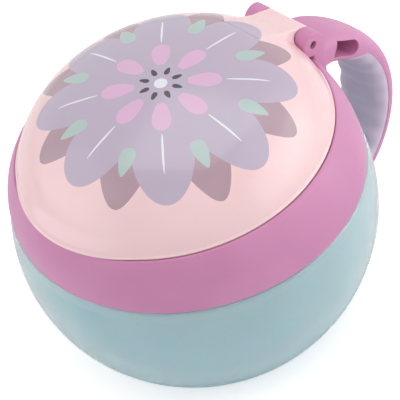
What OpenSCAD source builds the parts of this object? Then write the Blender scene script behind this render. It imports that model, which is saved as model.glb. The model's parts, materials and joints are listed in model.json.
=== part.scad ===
// Toddler snack container: round bowl, screw-on collar with a carrying handle,
// soft flaps across the mouth and a domed flip lid.
// Z is up and the base rests on Z = 0. The hinge and the handle are at +Y.

/* [Bowl] */
// Largest outside radius of the bowl
belly_r = 54.3; // [50:0.1:64]
// Height of the widest part above the base
belly_z = 38.5; // [34:0.1:42]
// Radius of the arc that forms the side
side_arc_r = 51.1; // [48:0.1:54]
// Radius of the arc that turns the side under to the base
foot_arc_r = 20; // [18:0.1:22]
// Distance of the foot arc's centre inside the widest part
foot_in = 26.7; // [24.3:0.1:29.3]
// Thickness of the side wall and the shoulder
bowl_wall = 2.6; // [1.8:0.1:3.4]
// Thickness of the floor
floor_t = 6; // [3:0.1:8]
// Height of the shoulder that the collar closes down to
shoulder_z = 51.5; // [48:0.1:56]
// Width of the shoulder from the outside in to the neck
shoulder_w = 7.6; // [7:0.1:9]
// Height of the neck above the shoulder
neck_h = 11.5; // [11:0.1:14]

/* [Thread] */
// Rise of the thread in one full turn
thread_lead = 9; // [8:0.5:11]
// Number of thread starts
thread_starts = 2; // [1:1:2]
// Angle that each thread ridge covers
thread_turn = 160; // [90:5:170]
// Height of a thread ridge above its wall
thread_h = 1.3; // [0.9:0.1:1.5]
// Width of a thread ridge at its root
thread_w = 2; // [1.6:0.1:2.2]
// Radial clearance between the two threaded parts
thread_clear = 0.5; // [0.3:0.05:0.6]

/* [Collar] */
// Clear gap between the shoulder and the collar's lower edge
collar_gap = 0.3; // [0.2:0.1:1]
// Distance that the collar leans in from its lower edge to the lid
collar_lean = 8; // [7:0.1:9]
// Outward bulge of the collar's leaning face
collar_bulge = 1.2; // [0.6:0.1:3]
// Thickness of the deck that the lid closes on
deck_t = 2.2; // [1.8:0.1:3]
// Height of the lip that surrounds the closed lid
lip_h = 1.9; // [1.4:0.1:2.6]
// Thickness of that lip
lip_t = 0.6; // [0.5:0.1:1.4]
// Distance of the mouth's edge inside the neck's bore
mouth_inset = 4.4; // [4:0.1:5.5]
// Thickness of the seal between the neck and the deck
gasket_t = 1.4; // [1:0.1:2]

/* [Lid] */
// Extra half length of the lid from front to back
lid_extra = 2.7; // [0:0.1:4]
// Distance that the lid's centre lies ahead of the bowl's axis
lid_shift = 1.17; // [0:0.01:2]
// Gap between the lid's edge and the collar's lip
lid_gap = 0.4; // [0.3:0.05:0.9]
// Height of the dome above the collar's lip
dome_h = 22.5; // [18:0.1:28]
// Slope of the dome at its edge, in degrees from level
dome_edge_angle = 75; // [68:1:82]
// Radius of the dome's shoulder
dome_shoulder_r = 27.3; // [22:0.1:30]
// Thickness of the lid's shell
lid_wall = 2; // [1.5:0.1:2.6]
// Reach of the finger lip beyond the lid's front edge
tab_reach = 1.6; // [0.5:0.1:2.4]
// Half width of the finger lip
tab_half_w = 25; // [14:0.5:27]
// Thickness of the finger lip
tab_t = 1.7; // [1.2:0.1:2.5]
// Height of the liner's raised floor above the deck
liner_rise = 3.4; // [2.6:0.1:5]
// Thickness of the liner
liner_t = 1.5; // [1.1:0.1:2]

/* [Hinge] */
// Distance of the pin ahead of the lid's back edge
pin_ahead = 0.1; // [0:0.1:0.6]
// Height of the pin above the collar's lip
pin_up = 5.3; // [5.2:0.1:6]
// Diameter of the hinge pin
pin_d = 2.6; // [2:0.1:3]
// Outside radius of the ears and of the lid's barrel
ear_r = 4; // [3.6:0.1:4.2]
// Thickness of each ear
ear_t = 4.65; // [3.5:0.05:5.5]
// Width of the lid's barrel
barrel_w = 14.4; // [12:0.1:18]
// Side gap between the barrel and each ear
ear_gap = 0.15; // [0.1:0.05:0.3]
// Distance of the pin's ends inside the ears' outer faces
pin_inset = 1; // [0.5:0.1:2]
// Radial clearance of the pin in the barrel
pin_clear = 0.05; // [0.03:0.01:0.1]

/* [Handle] */
// Reach of the handle's arc behind its centre
handle_reach = 26.53; // [24:0.1:30]
// Rise of the handle's arc above its centre
handle_rise = 29.01; // [26:0.1:29.5]
// Depth of the arc's centre below the collar's lower edge
handle_drop = 20.14; // [18:0.1:20.5]
// Distance of the arc's centre inside the collar's lower radius
handle_in = 2.66; // [0:0.1:5]
// Half width of the handle
handle_half_w = 9.5; // [8:0.1:11]
// Half thickness of the handle
handle_half_t = 5; // [4.4:0.1:5.6]
// Thickness of the soft grip on the handle's inner half
grip_t = 1.8; // [1.2:0.1:2.4]
// Number of soft ridges across the grip
grip_ridges = 8; // [4:1:12]
// Depth of the hollows between the ridges
ridge_depth = 0.5; // [0.2:0.1:0.8]
// Height of the strap slot
slot_h = 5.1; // [4.4:0.1:5.4]
// Length of the strap slot
slot_l = 11.3; // [9:0.1:13]

/* [Flaps] */
// Number of soft flaps across the mouth
flap_count = 6; // [6:1:6]
// Width of the flap ring, from the neck's bore in to the flaps' roots
flap_ring_w = 8.9; // [8:0.1:11]
// Thickness of the flap ring
flap_ring_t = 2.2; // [1.6:0.1:3]
// Thickness of each flap
flap_t = 1.2; // [0.8:0.1:1.6]
// Gap around each flap
flap_gap = 0.3; // [0.2:0.05:0.5]
// Angle that the flaps sink at from their roots to the centre
flap_sink = 6; // [2:1:10]

/* [Hidden] */
$fn = 96;
FINE = 240;
DOME_SIDES = 96;
EPS = 0.01;
OVER = 1;
FAR = 200;
ORCHID = [0.84, 0.56, 0.74];
PINK = [0.98, 0.83, 0.84];
AQUA = [0.68, 0.83, 0.85, 0.85];
GREY = [0.66, 0.62, 0.70];
MILK = [0.94, 0.93, 0.95];
STEEL = [0.72, 0.72, 0.74];

// Bowl: centres of the two arcs, and the radii that follow from them
side_x = belly_r - side_arc_r;
foot_centre_r = belly_r - foot_in;
foot_z = belly_z - sqrt(pow(side_arc_r - foot_arc_r, 2) - pow(foot_centre_r - side_x, 2));
join_z = foot_z + (foot_z - belly_z) * foot_arc_r / (side_arc_r - foot_arc_r);
shoulder_r = side_x + sqrt(pow(side_arc_r, 2) - pow(shoulder_z - belly_z, 2));
neck_r = shoulder_r - shoulder_w;
neck_in_r = neck_r - bowl_wall;
neck_top = shoulder_z + neck_h;

// Thread: the collar's ridges run just under the neck's
thread_tip_w = 0.45 * thread_w;
thread_pitch = thread_lead / thread_starts;
thread_foot = 1.6;
thread_z = shoulder_z + thread_foot + thread_w;
thread_under = 0.85 * thread_w;
thread_bore_r = neck_r + thread_h + thread_clear;
thread_rings = 24;
thread_sunk = 0.4;

// Collar heights and radii, from the bottom up
collar_z = shoulder_z + collar_gap;
deck_under = neck_top + gasket_t;
deck_z = deck_under + deck_t;
rim_z = deck_z + lip_h;
collar_low_r = shoulder_r - 0.1;
mouth_r = neck_in_r - mouth_inset;
collar_slices = 8;

// Lid: half width, half length and place
lid_rx = collar_low_r - collar_lean;
lid_ry = lid_rx + lid_extra;
lid_y = -lid_shift;
lid_stretch = lid_ry / lid_rx;
seat_clear = 0.3;
lid_low = deck_z + seat_clear;
shoulder_cx = lid_rx - dome_shoulder_r * sin(dome_edge_angle);
shoulder_cz = -dome_shoulder_r * cos(dome_edge_angle);
crown_r = (pow(shoulder_cx, 2) + pow(dome_h - shoulder_cz, 2) - pow(dome_shoulder_r, 2))
    / (2 * (dome_h - shoulder_cz - dome_shoulder_r));
crown_cz = dome_h - crown_r;
join_slope = asin(shoulder_cx / (crown_r - dome_shoulder_r));
liner_flange_t = 1.5;
liner_z = deck_z + liner_rise;
plug_clear = 0.2;
plug_r = mouth_r - plug_clear;
plug_bead = 0.1;
plug_depth = 1.5;
liner_clear = 0.1;

// Hinge
pin_y = lid_y + lid_ry - pin_ahead;
pin_z = rim_z + pin_up;
ear_in_x = barrel_w / 2 + ear_gap;
ear_out_x = ear_in_x + ear_t;
ear_front = 0.3;
ear_foot = 5;
pocket_clear = 0.45;
pocket_wall = 1.5;
pocket_out_x = ear_out_x + pocket_clear;
arm_root = 8.5;
arm_rise = 7.4;

// Handle: a short root that leaves the collar, then an arc
handle_top_angle = 69;
handle_end_angle = -60;
grip_top_angle = 66;
grip_full_angle = 42;
grip_end_angle = -54;
arc_y = collar_low_r - handle_in;
arc_z = collar_z - handle_drop;
root_lift = 1.2;
lift_angle = 45;
root_y = collar_low_r - 5;
root_z = collar_z + 10.6;
root_run = 6.5;
root_half_w = 10.2;
root_steps = 8;
arc_step_angle = 3;
bed_end_angle = 0.5;
tip_steps = 5;
tip_len = 3;
ring_half = 14;
cover_angle = 55;
slot_angle = 34.5;
slot_centre_angle = 64.35;
slot_up = 0.5;
round_power = 0.8;
boxy_power = 0.55;

// Flaps
ring_out_r = neck_in_r - 1.4;
ring_apothem = neck_in_r - flap_ring_w;
flap_root = ring_apothem - flap_gap;
flap_tip = 2.5;
flap_z = deck_under - 0.4;
flap_notch = 2.5 * flap_t;

// ---- shared shapes ----

// A closed sweep through rings of equal length. Each end is a strip of quads that joins the
// first half of its ring to the second
module sweep(rings) {
    m = len(rings[0]);
    last = m * (len(rings) - 1);
    points = [for (ring = rings) each ring];
    walls = [for (i = [0:len(rings) - 2], j = [0:m - 1])
        let (a = m * i + j, b = m * i + (j + 1) % m) each [[a, b, b + m], [a, b + m, a + m]]];
    first_end = [for (j = [0:m / 2 - 2]) [m - 1 - j, m - 2 - j, j + 1, j]];
    last_end = [for (j = [0:m / 2 - 2]) [last + j, last + j + 1, last + m - 2 - j, last + m - 1 - j]];
    polyhedron(points, concat(walls, first_end, last_end));
}

// One ring of points of a thread ridge, at part i of its length
function ridge_ring(i, wall_r, side, z0) =
    let (
        f = i / thread_rings,
        a = thread_turn * f,
        z = z0 + thread_lead * a / 360,
        rise = thread_h * min(1, 5 * f + 0.15, 5 * (1 - f) + 0.15),
        half = thread_w / 2,
        half_tip = half - (half - thread_tip_w / 2) * rise / thread_h,
        pts = [[wall_r - side * thread_sunk, -half], [wall_r + side * rise, -half_tip],
            [wall_r + side * rise, half_tip], [wall_r - side * thread_sunk, half]]
    )
    [for (p = pts) [p[0] * cos(a), p[0] * sin(a), z + p[1]]];

// A helical ridge on a wall: side is 1 on the outside of a neck and -1 inside a bore
module thread_ridge(wall_r, side, z0) {
    rings = [for (i = [0:thread_rings]) ridge_ring(i, wall_r, side, z0)];
    sweep(side > 0 ? rings : [for (ring = rings) [for (j = [3:-1:0]) ring[j]]]);
}

// All the starts of a thread
module thread(wall_r, side, z0) {
    for (i = [0:thread_starts - 1])
        rotate(360 * i / thread_starts) thread_ridge(wall_r, side, z0);
}

// Half section of the bowl's body, set in from the outside by a wall
module bowl_section(inset, low, high) {
    intersection() {
        translate([side_x, belly_z]) circle(side_arc_r - inset, $fn = FINE);
        translate([0, max(join_z, low)]) square([FAR, high - max(join_z, low)]);
    }
    translate([0, low]) square([foot_centre_r, join_z - low + EPS]);
    intersection() {
        translate([foot_centre_r, foot_z]) circle(foot_arc_r - inset, $fn = FINE);
        translate([foot_centre_r - EPS, low]) square([FAR, join_z - low + EPS]);
    }
}

// An oval disc that follows the lid's outline, grown by a margin
module lid_oval(grow, low, high) {
    translate([0, lid_y, low])
        scale([lid_rx + grow, lid_ry + grow, 1]) cylinder(h = high - low, r = 1);
}

// The collar's outside: a round lower edge that leans in to the lid's oval
module collar_blank() {
    hull() {
        for (i = [0:collar_slices]) {
            t = i / collar_slices;
            out = 4 * t * (1 - t) * collar_bulge;
            rx = collar_low_r + (lid_rx + lid_gap + lip_t - collar_low_r) * t + 0.9 * out;
            ry = collar_low_r + (lid_ry + lid_gap + lip_t - collar_low_r) * t + 0.9 * out;
            z = collar_z + (rim_z - collar_z) * t + 0.43 * out;
            translate([0, lid_y * t, min(z, rim_z) - EPS]) scale([rx, ry, 1]) cylinder(h = EPS, r = 1);
        }
    }
}

// The two ears' outline: a round nose on a stalk that stands on the collar
module ear_blank() {
    for (side = [-1, 1])
        translate([side * (ear_in_x + ear_t / 2), 0, 0]) {
            translate([-ear_t / 2, pin_y, pin_z]) rotate([0, 90, 0]) cylinder(h = ear_t, r = ear_r);
            translate([-ear_t / 2, pin_y + ear_front, collar_z + ear_foot])
                cube([ear_t, ear_r - ear_front, pin_z - collar_z - ear_foot]);
        }
}

// A rod along the hinge's axis
module hinge_rod(r, half) {
    translate([-half, pin_y, pin_z]) rotate([0, 90, 0]) cylinder(h = 2 * half, r = r);
}

// Radius and height of the dome where its slope is a, set in from the outside by a wall
function dome_point(a, inset) = a > join_slope
    ? [shoulder_cx + (dome_shoulder_r - inset) * sin(a), shoulder_cz + (dome_shoulder_r - inset) * cos(a)]
    : [(crown_r - inset) * sin(a), crown_cz + (crown_r - inset) * cos(a)];

// The dome as a solid on the lid's oval, from its straight edge up
module dome_solid(inset, low) {
    slopes = concat([for (i = [0:8]) dome_edge_angle + (join_slope + 1 - dome_edge_angle) * i / 8],
        [for (i = [0:4]) join_slope * (1 - 0.97 * i / 4)]);
    hull() {
        translate([0, lid_y, low]) scale([lid_rx - inset, lid_ry - inset, 1])
            cylinder(h = rim_z - low, r = 1, $fn = DOME_SIDES);
        for (a = slopes) {
            q = dome_point(a, inset);
            translate([0, lid_y, rim_z + q[1] - EPS])
                scale([q[0], q[0] * lid_stretch, 1]) cylinder(h = EPS, r = 1, $fn = DOME_SIDES);
        }
    }
}

// ---- handle sweep ----

// Centre of the handle's arc at angle a
function arc_point(a) =
    let (lift = root_lift * pow(max(0, (a - lift_angle) / (handle_top_angle - lift_angle)), 2))
    [arc_y + handle_reach * cos(a), arc_z + handle_rise * sin(a) + lift];
function arc_along(a) =
    let (d = arc_point(a - 0.5) - arc_point(a + 0.5)) d / norm(d);

// Centre of the root at part u of its length, on a curve that joins the arc smoothly
function root_point(u) =
    let (
        p2 = arc_point(handle_top_angle),
        p1 = p2 - root_run * arc_along(handle_top_angle),
        p0 = [root_y, root_z]
    )
    (1 - u) * (1 - u) * p0 + 2 * u * (1 - u) * p1 + u * u * p2;
function root_along(u) =
    let (d = root_point(u + 0.01) - root_point(u - 0.01)) d / norm(d);

// The section is boxy at the root and rounder where the grip is full
function power(a) =
    let (share = min(1, max(0, (a - grip_full_angle) / (handle_top_angle - grip_full_angle))))
    round_power + (boxy_power - round_power) * share;

// A station is [centre, direction along, half width, half thickness, power of the section]
root_stations = [for (i = [0:root_steps - 1])
    let (u = i / root_steps)
    [root_point(u), root_along(u), root_half_w + (handle_half_w - root_half_w) * u, handle_half_t, boxy_power]];
tip_stations = [for (i = [1:tip_steps])
    let (f = i / tip_steps, s = sqrt(1 - 0.96 * f * f), along = arc_along(handle_end_angle))
    [arc_point(handle_end_angle) + tip_len * f * along, along, handle_half_w * s, handle_half_t * s,
        round_power]];

// A point of a rounded section at angle p: width to the side, thickness outward. The power k
// is 1 for an ellipse and less for a boxier section
function rounded(p, w, t, k) =
    [w * sign(cos(p)) * pow(abs(cos(p)), k), t * sign(sin(p)) * pow(abs(sin(p)), k)];
function place(station, q) =
    let (c = station[0], d = station[1], n = [-d[1], d[0]])
    [q[0], c[0] + n[0] * q[1], c[1] + n[1] * q[1]];

// The grip covers the inner half; near its top it narrows to the inner edge
function cover(a) = cover_angle * max(0, (a - grip_full_angle) / (grip_top_angle - grip_full_angle));
function grip_angles(a) =
    let (c = cover(a)) [for (j = [0:ring_half]) 180 + c + (180 - 2 * c) * j / ring_half];
function hollow(a) =
    ridge_depth * (1 - cos(360 * grip_ridges * (grip_top_angle - a) / (grip_top_angle - grip_end_angle))) / 2;

// The handle's core is set in by the grip's thickness wherever the grip lies on it
function core_ring(station, a, bed) =
    let (
        c = cover(a),
        w = station[2],
        t = station[3],
        k = station[4],
        outer = [for (j = [0:ring_half]) rounded(-c + (180 + 2 * c) * j / ring_half, w, t, k)],
        part = [for (j = [0:ring_half]) bed > 0 ? j / ring_half : (j + 1) / (ring_half + 2)],
        inner = [for (f = part) rounded(180 + c + (180 - 2 * c) * f, w - bed, t - bed, k)]
    )
    [for (q = concat(outer, inner)) place(station, q)];

// A station of the handle's arc
function arc_station(a) = [arc_point(a), arc_along(a), handle_half_w, handle_half_t, power(a)];

// Rings of the grip's shell, with soft hollows across its outer side
grip_rings = [for (a = [grip_top_angle:-arc_step_angle:grip_end_angle])
    let (
        angles = grip_angles(a),
        dip = hollow(a) / grip_t,
        inner = [for (p = angles) rounded(p, handle_half_w - grip_t, handle_half_t - grip_t, power(a))],
        outer = [for (p = angles) rounded(p, handle_half_w, handle_half_t, power(a))],
        out = [for (j = [0:ring_half])
            inner[j] + (outer[j] - inner[j]) * (1 - dip * sin(180 * j / ring_half))]
    )
    [for (q = concat(out, [for (j = [ring_half:-1:0]) inner[j]])) place(arc_station(a), q)]];

// ---- the pieces ----

module bowl() {
    color(AQUA) {
        difference() {
            union() {
                rotate_extrude() intersection() {
                    bowl_section(0, 0, shoulder_z);
                    square(FAR);
                }
                translate([0, 0, belly_z]) cylinder(h = neck_top - belly_z, r = neck_r);
            }
            rotate_extrude() intersection() {
                bowl_section(bowl_wall, floor_t, shoulder_z - bowl_wall);
                square(FAR);
            }
            translate([0, 0, belly_z]) cylinder(h = FAR, r = neck_in_r);
        }
        thread(neck_r, 1, thread_z);
    }
}

module bowl_gasket() {
    color(MILK) translate([0, 0, neck_top]) difference() {
        cylinder(h = gasket_t, r = neck_r - 0.2);
        translate([0, 0, -EPS]) cylinder(h = gasket_t + 2 * EPS, r = neck_in_r + 0.2);
    }
}

module collar() {
    color(ORCHID) {
        difference() {
            union() {
                difference() {
                    collar_blank();
                    lid_oval(lid_gap, deck_z, rim_z + 1);
                }
                ear_blank();
            }
            translate([0, 0, collar_z - 1]) cylinder(h = deck_under - collar_z + 1, r = thread_bore_r);
            cylinder(h = FAR, r = mouth_r);
            hinge_rod(pin_d / 2 + 0.02, ear_out_x + 1);
        }
        thread(thread_bore_r, -1, thread_z - thread_under);
    }
}

module strap_slot() {
    translate([-FAR / 2, arc_point(slot_centre_angle)[0], arc_point(slot_centre_angle)[1] + slot_up])
        rotate([-slot_angle, 0, 0]) {
            translate([0, -slot_l / 2, -slot_h / 2]) cube([FAR, slot_l - slot_h / 2, slot_h]);
            translate([0, slot_l / 2 - slot_h / 2, 0]) rotate([0, 90, 0]) cylinder(h = FAR, r = slot_h / 2);
        }
}

module handle() {
    above = [for (s = root_stations) core_ring(s, grip_top_angle, 0)];
    top = [for (a = [handle_top_angle, grip_top_angle + bed_end_angle])
        core_ring(arc_station(a), grip_top_angle, 0)];
    bed = [for (a = [grip_top_angle:-arc_step_angle:grip_end_angle]) core_ring(arc_station(a), a, grip_t)];
    below = [for (a = [grip_end_angle - bed_end_angle, handle_end_angle]) core_ring(arc_station(a), a, 0)];
    tip = [for (s = tip_stations) core_ring(s, handle_end_angle, 0)];
    color(ORCHID) difference() {
        sweep(concat(above, top, bed, below, tip));
        collar_blank();
        ear_blank();
        strap_slot();
    }
}

module handle_grip() {
    color(GREY) sweep(grip_rings);
}

module hinge_pin() {
    color(STEEL) hinge_rod(pin_d / 2, ear_out_x - pin_inset);
}

// The lid's arm: from the dome's back down to the barrel
module hinge_arm() {
    r = ear_r;
    back_y = pin_y - arm_root;
    top = [back_y, pin_z + arm_rise];
    to_pin = [pin_y, pin_z] - top;
    gap = norm(to_pin);
    turn = atan2(to_pin[1], to_pin[0]) + asin(r / gap);
    touch = top + sqrt(gap * gap - r * r) * [cos(turn), sin(turn)];
    foot = rim_z + seat_clear;
    hinge_rod(r, barrel_w / 2);
    translate([-barrel_w / 2, 0, 0]) rotate([90, 0, 90]) linear_extrude(barrel_w)
        polygon([top, touch, [pin_y, pin_z], [pin_y, foot], [back_y, foot]]);
}

// The lid's solid corner around the ears' pockets and the arm, above the liner
module hinge_corner() {
    above = lid_low + liner_flange_t + liner_clear;
    intersection() {
        union() {
            hinge_rod(ear_r + pocket_clear + pocket_wall, pocket_out_x + pocket_wall);
            hinge_arm();
        }
        translate([-FAR / 2, -FAR / 2, above]) cube(FAR);
    }
}

module lid_shell() {
    tab_r = 1 / (1 / (lid_rx * lid_rx / lid_ry) + 2 * tab_reach / (tab_half_w * tab_half_w));
    color(PINK) difference() {
        union() {
            dome_solid(0, lid_low);
            hinge_arm();
            translate([0, lid_y - lid_ry - tab_reach + tab_r, rim_z + 0.1]) intersection() {
                cylinder(h = tab_t, r = tab_r);
                translate([-tab_r, -tab_r, 0]) cube([2 * tab_r, tab_r / 2, tab_t]);
            }
        }
        difference() {
            dome_solid(lid_wall, lid_low - 1);
            hinge_corner();
        }
        for (side = [-1, 1])
            translate([side * (barrel_w / 2 + pocket_out_x) / 2, 0, 0])
                hinge_rod(ear_r + pocket_clear, (pocket_out_x - barrel_w / 2) / 2);
        hinge_rod(pin_d / 2 + pin_clear, barrel_w);
    }
}

module lid_liner() {
    color(PINK) {
        translate([0, 0, liner_z]) cylinder(h = liner_t, r = plug_r);
        difference() {
            union() {
                translate([0, 0, deck_z - plug_depth])
                    cylinder(h = liner_z - deck_z + plug_depth + EPS, r = plug_r);
                translate([0, 0, deck_z - plug_depth + 0.4]) rotate_extrude()
                    translate([plug_r - 0.5, 0]) square([0.5 + plug_bead, 0.6]);
                lid_oval(-lid_wall - liner_clear, lid_low, lid_low + liner_flange_t);
            }
            translate([0, 0, deck_z - plug_depth - 1])
                cylinder(h = liner_z - deck_z + plug_depth + 1 + EPS, r = plug_r - liner_t);
        }
    }
}

module flap_ring() {
    color(MILK) translate([0, 0, deck_under - flap_ring_t]) difference() {
        cylinder(h = flap_ring_t, r = ring_out_r);
        translate([0, 0, -OVER]) rotate(180 / flap_count)
            cylinder(h = flap_ring_t + 2 * OVER, r = ring_apothem / cos(180 / flap_count), $fn = flap_count);
    }
}

// Half width of a flap at distance r from the axis, clear of its neighbours
function flap_half_w(r) =
    let (half = 180 / flap_count) r * tan(half) - flap_gap / cos(half);

// One flap: a wedge whose root lies along a side of the ring's hole. The root's corners are
// cut back, so that the flaps clear each other as they bend
module flap(i) {
    root_cut = flap_t * tan(180 / flap_count);
    side = [[flap_root, flap_half_w(flap_root) - root_cut],
        [flap_root - flap_notch, flap_half_w(flap_root - flap_notch)],
        [flap_tip, flap_half_w(flap_tip)]];
    color(MILK) rotate(360 * i / flap_count)
        translate([flap_root, 0, flap_z - flap_t]) rotate([0, -flap_sink, 0])
            translate([-flap_root, 0, 0]) linear_extrude(flap_t)
                polygon(concat([for (q = side) [q[0], -q[1]]], [for (j = [2:-1:0]) side[j]]));
}

bowl();
bowl_gasket();
collar();
handle();
handle_grip();
hinge_pin();
lid_shell();
lid_liner();
flap_ring();
flap(0);  // flap_1
flap(1);  // flap_2
flap(2);  // flap_3
flap(3);  // flap_4
flap(4);  // flap_5
flap(5);  // flap_6
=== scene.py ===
"""Looks of a toddler snack container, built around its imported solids.

Each sub-assembly is a class that holds its sizes and makes its own meshes: the bowl, the
collar with its ears, the handle with its soft grip, the lid with its liner, and the soft
flaps across the mouth. Lengths are in metres, Z is up and the hinge is at +Y.
"""
import json
import logging
import math
from dataclasses import dataclass, field
from enum import Enum
from typing import Sequence

import bmesh
import bpy
from mathutils import Matrix, Vector


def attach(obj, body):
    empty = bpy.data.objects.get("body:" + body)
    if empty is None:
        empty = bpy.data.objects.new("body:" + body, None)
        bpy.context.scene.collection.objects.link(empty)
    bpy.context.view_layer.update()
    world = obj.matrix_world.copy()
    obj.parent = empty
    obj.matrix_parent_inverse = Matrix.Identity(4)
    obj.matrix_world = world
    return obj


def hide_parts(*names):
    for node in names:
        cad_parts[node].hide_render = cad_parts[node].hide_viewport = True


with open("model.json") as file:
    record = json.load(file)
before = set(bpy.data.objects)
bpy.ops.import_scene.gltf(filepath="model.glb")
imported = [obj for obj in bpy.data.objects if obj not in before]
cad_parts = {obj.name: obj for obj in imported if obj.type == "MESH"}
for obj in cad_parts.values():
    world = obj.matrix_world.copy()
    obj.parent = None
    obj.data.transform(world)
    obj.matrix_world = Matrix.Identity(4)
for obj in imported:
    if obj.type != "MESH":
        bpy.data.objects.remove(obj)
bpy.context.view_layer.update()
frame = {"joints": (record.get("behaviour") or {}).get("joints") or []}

MM = 0.001
# Radius of the small hole that a cap closes where a wall reaches the axis
AXIS_R = 0.05 * MM
# Distance that a cutting tool goes past the piece that it cuts
OVER = 1.0 * MM
# Distance that is past every piece
FAR = 100.0 * MM
# Distance within which two vertices of a closed loft are one
SAME = 0.001 * MM
# Part of soft noise's range that a shade change and an uneven gloss are drawn from
SHADE_RANGE = (0.35, 0.65)
GLOSS_RANGE = (0.3, 0.7)
# Largest share of a side that the rounding of a corner may take
MOST_OF_SIDE = 0.48

log = logging.getLogger("snack_container")

Ring = Sequence[Vector]
Colour = tuple[float, float, float]


class Cut(Enum):
    """How a tool shape changes the piece that it is applied to."""

    TAKE = "DIFFERENCE"
    JOIN = "UNION"


class Side(Enum):
    """The two sides of the hinge, as the sign of X."""

    LEFT = -1
    RIGHT = 1


# ---------------------------------------------------------------- shared sizes


def pin_place() -> Vector:
    """The hinge pin's centre, read from the lid's joint."""
    joint = next(j for j in frame["joints"] if j["name"] == "lid_hinge")
    return Vector(joint["pos_m"])


@dataclass(frozen=True)
class Plan:
    """Where the pieces meet. All the other classes take their places from it.

    Attributes:
        shoulder_z: Height of the bowl's shoulder, from which the neck rises to neck_top.
        collar_z: Height of the collar's lower edge, and collar_low_r its radius there.
        deck_under: Height of the underside of the collar's deck, and deck_z of its top.
        rim_z: Height of the collar's rim, from which the lid's dome rises.
        mouth_r: Radius of the mouth in the deck.
        lid_rx: Half width of the lid, which is an oval lid_extra longer to each end.
        lid_y: Place of the lid's middle, towards the back.
        lid_gap: Gap between lid and collar at the rim, where the lip is lip_t thick.
        pin: The hinge pin's centre.
        barrel_w: Length of the lid's barrel; the ears stand ear_gap beside it.
    """

    shoulder_z: float = 51.5 * MM
    shoulder_r: float = 52.62 * MM
    neck_r: float = 45.02 * MM
    neck_wall: float = 2.6 * MM
    neck_top: float = 63.0 * MM
    collar_z: float = 51.8 * MM
    collar_low_r: float = 52.52 * MM
    deck_under: float = 64.4 * MM
    deck_z: float = 66.6 * MM
    rim_z: float = 68.5 * MM
    mouth_r: float = 38.02 * MM
    lid_rx: float = 44.52 * MM
    lid_extra: float = 2.7 * MM
    lid_y: float = -1.17 * MM
    lid_gap: float = 0.4 * MM
    lip_t: float = 0.6 * MM
    pin: Vector = field(default_factory=pin_place)
    ear_r: float = 4.0 * MM
    barrel_w: float = 14.4 * MM
    ear_gap: float = 0.15 * MM
    ear_t: float = 4.65 * MM

    @property
    def lid_ry(self) -> float:
        """Half length of the lid from front to back."""
        return self.lid_rx + self.lid_extra

    @property
    def ear_in(self) -> float:
        """Distance of an ear's inner face from the middle plane."""
        return self.barrel_w / 2 + self.ear_gap

    @property
    def ear_out(self) -> float:
        """Distance of an ear's outer face from the middle plane."""
        return self.ear_in + self.ear_t


# ---------------------------------------------------------------- mesh helpers


@dataclass(frozen=True)
class Corner:
    """A corner of a wall's section.

    Attributes:
        r: Radius from the axis, across the container.
        z: Height.
        oval: How far the ring there has gone from a circle (0) to the lid's oval (1).
        soft: Length that the corner's rounding takes from each side.
    """

    r: float
    z: float
    oval: float = 0.0
    soft: float = 0.0


def soften(corners: Sequence[Corner], closed: bool = False, steps: int = 4) -> list[Corner]:
    """Rounds the corners of a section.

    Args:
        corners: The section's corners in order.
        closed: Whether the last corner joins the first.
        steps: Segments in each rounding.

    Returns:
        The section with every soft corner replaced by a short curve.
    """
    out: list[Corner] = []
    count = len(corners)
    for i, corner in enumerate(corners):
        inner = closed or 0 < i < count - 1
        if not inner or corner.soft <= 0:
            out.append(corner)
            continue
        here = Vector((corner.r, corner.z, corner.oval))
        ends = []
        for other in (corners[i - 1], corners[(i + 1) % count]):
            there = Vector((other.r, other.z, other.oval))
            length = math.hypot(there.x - here.x, there.y - here.y)
            ends.append(here.lerp(there, min(corner.soft / length, MOST_OF_SIDE)))
        for k in range(steps + 1):
            t = k / steps
            point = ends[0].lerp(here, t).lerp(here.lerp(ends[1], t), t)
            out.append(Corner(*point))
    return out


def place(loop: Sequence[bmesh.types.BMVert], ring: Ring) -> None:
    """Moves a loop of vertices onto a ring of points."""
    for vert, point in zip(loop, ring):
        vert.co = point


def loft(rings: Sequence[Ring], closed: bool = False) -> bmesh.types.BMesh:
    """Skins a row of rings, one extruded loop after another.

    The face that fills an end takes its points by their angle round the ring's middle. That is
    right for a convex ring. On the C-shaped ends of the handle's grip the fill is tangled, its
    edges aren't the wall's, and which way it faces can change from run to run.

    Args:
        rings: Rings of equal length, in order.
        closed: Whether the last ring joins the first; otherwise both ends are filled.

    Returns:
        The mesh, which is closed and faces outwards where its end rings are convex.
    """
    count = len(rings[0])
    bm = bmesh.new()
    loop = bmesh.ops.create_circle(bm, segments=count, radius=1.0)["verts"]
    place(loop, rings[0])
    ends = [loop]
    for ring in [*rings[1:], *([rings[0]] if closed else [])]:
        edges = [bm.edges.get((loop[i - 1], loop[i])) for i in range(count)]
        grown = bmesh.ops.extrude_edge_only(bm, edges=edges)["geom"]
        fresh = {g for g in grown if isinstance(g, bmesh.types.BMVert)}
        loop = [next(e.other_vert(v) for e in v.link_edges if e.other_vert(v) in fresh) for v in loop]
        place(loop, ring)
    ends.append(loop)
    if closed:
        bmesh.ops.remove_doubles(bm, verts=bm.verts, dist=SAME)
    else:
        for end in ends:
            bmesh.ops.contextual_create(bm, geom=end)
    bmesh.ops.recalc_face_normals(bm, faces=bm.faces)
    return bm


def merged(*parts: bmesh.types.BMesh) -> bmesh.types.BMesh:
    """Puts several meshes into one, and frees the others.

    Args:
        parts: The meshes. The first one takes in the rest.

    Returns:
        The first mesh, with all of them in it.
    """
    whole = parts[0]
    for part in parts[1:]:
        spare = bpy.data.meshes.new("spare")
        part.to_mesh(spare)
        part.free()
        whole.from_mesh(spare)
        bpy.data.meshes.remove(spare)
    return whole


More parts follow.
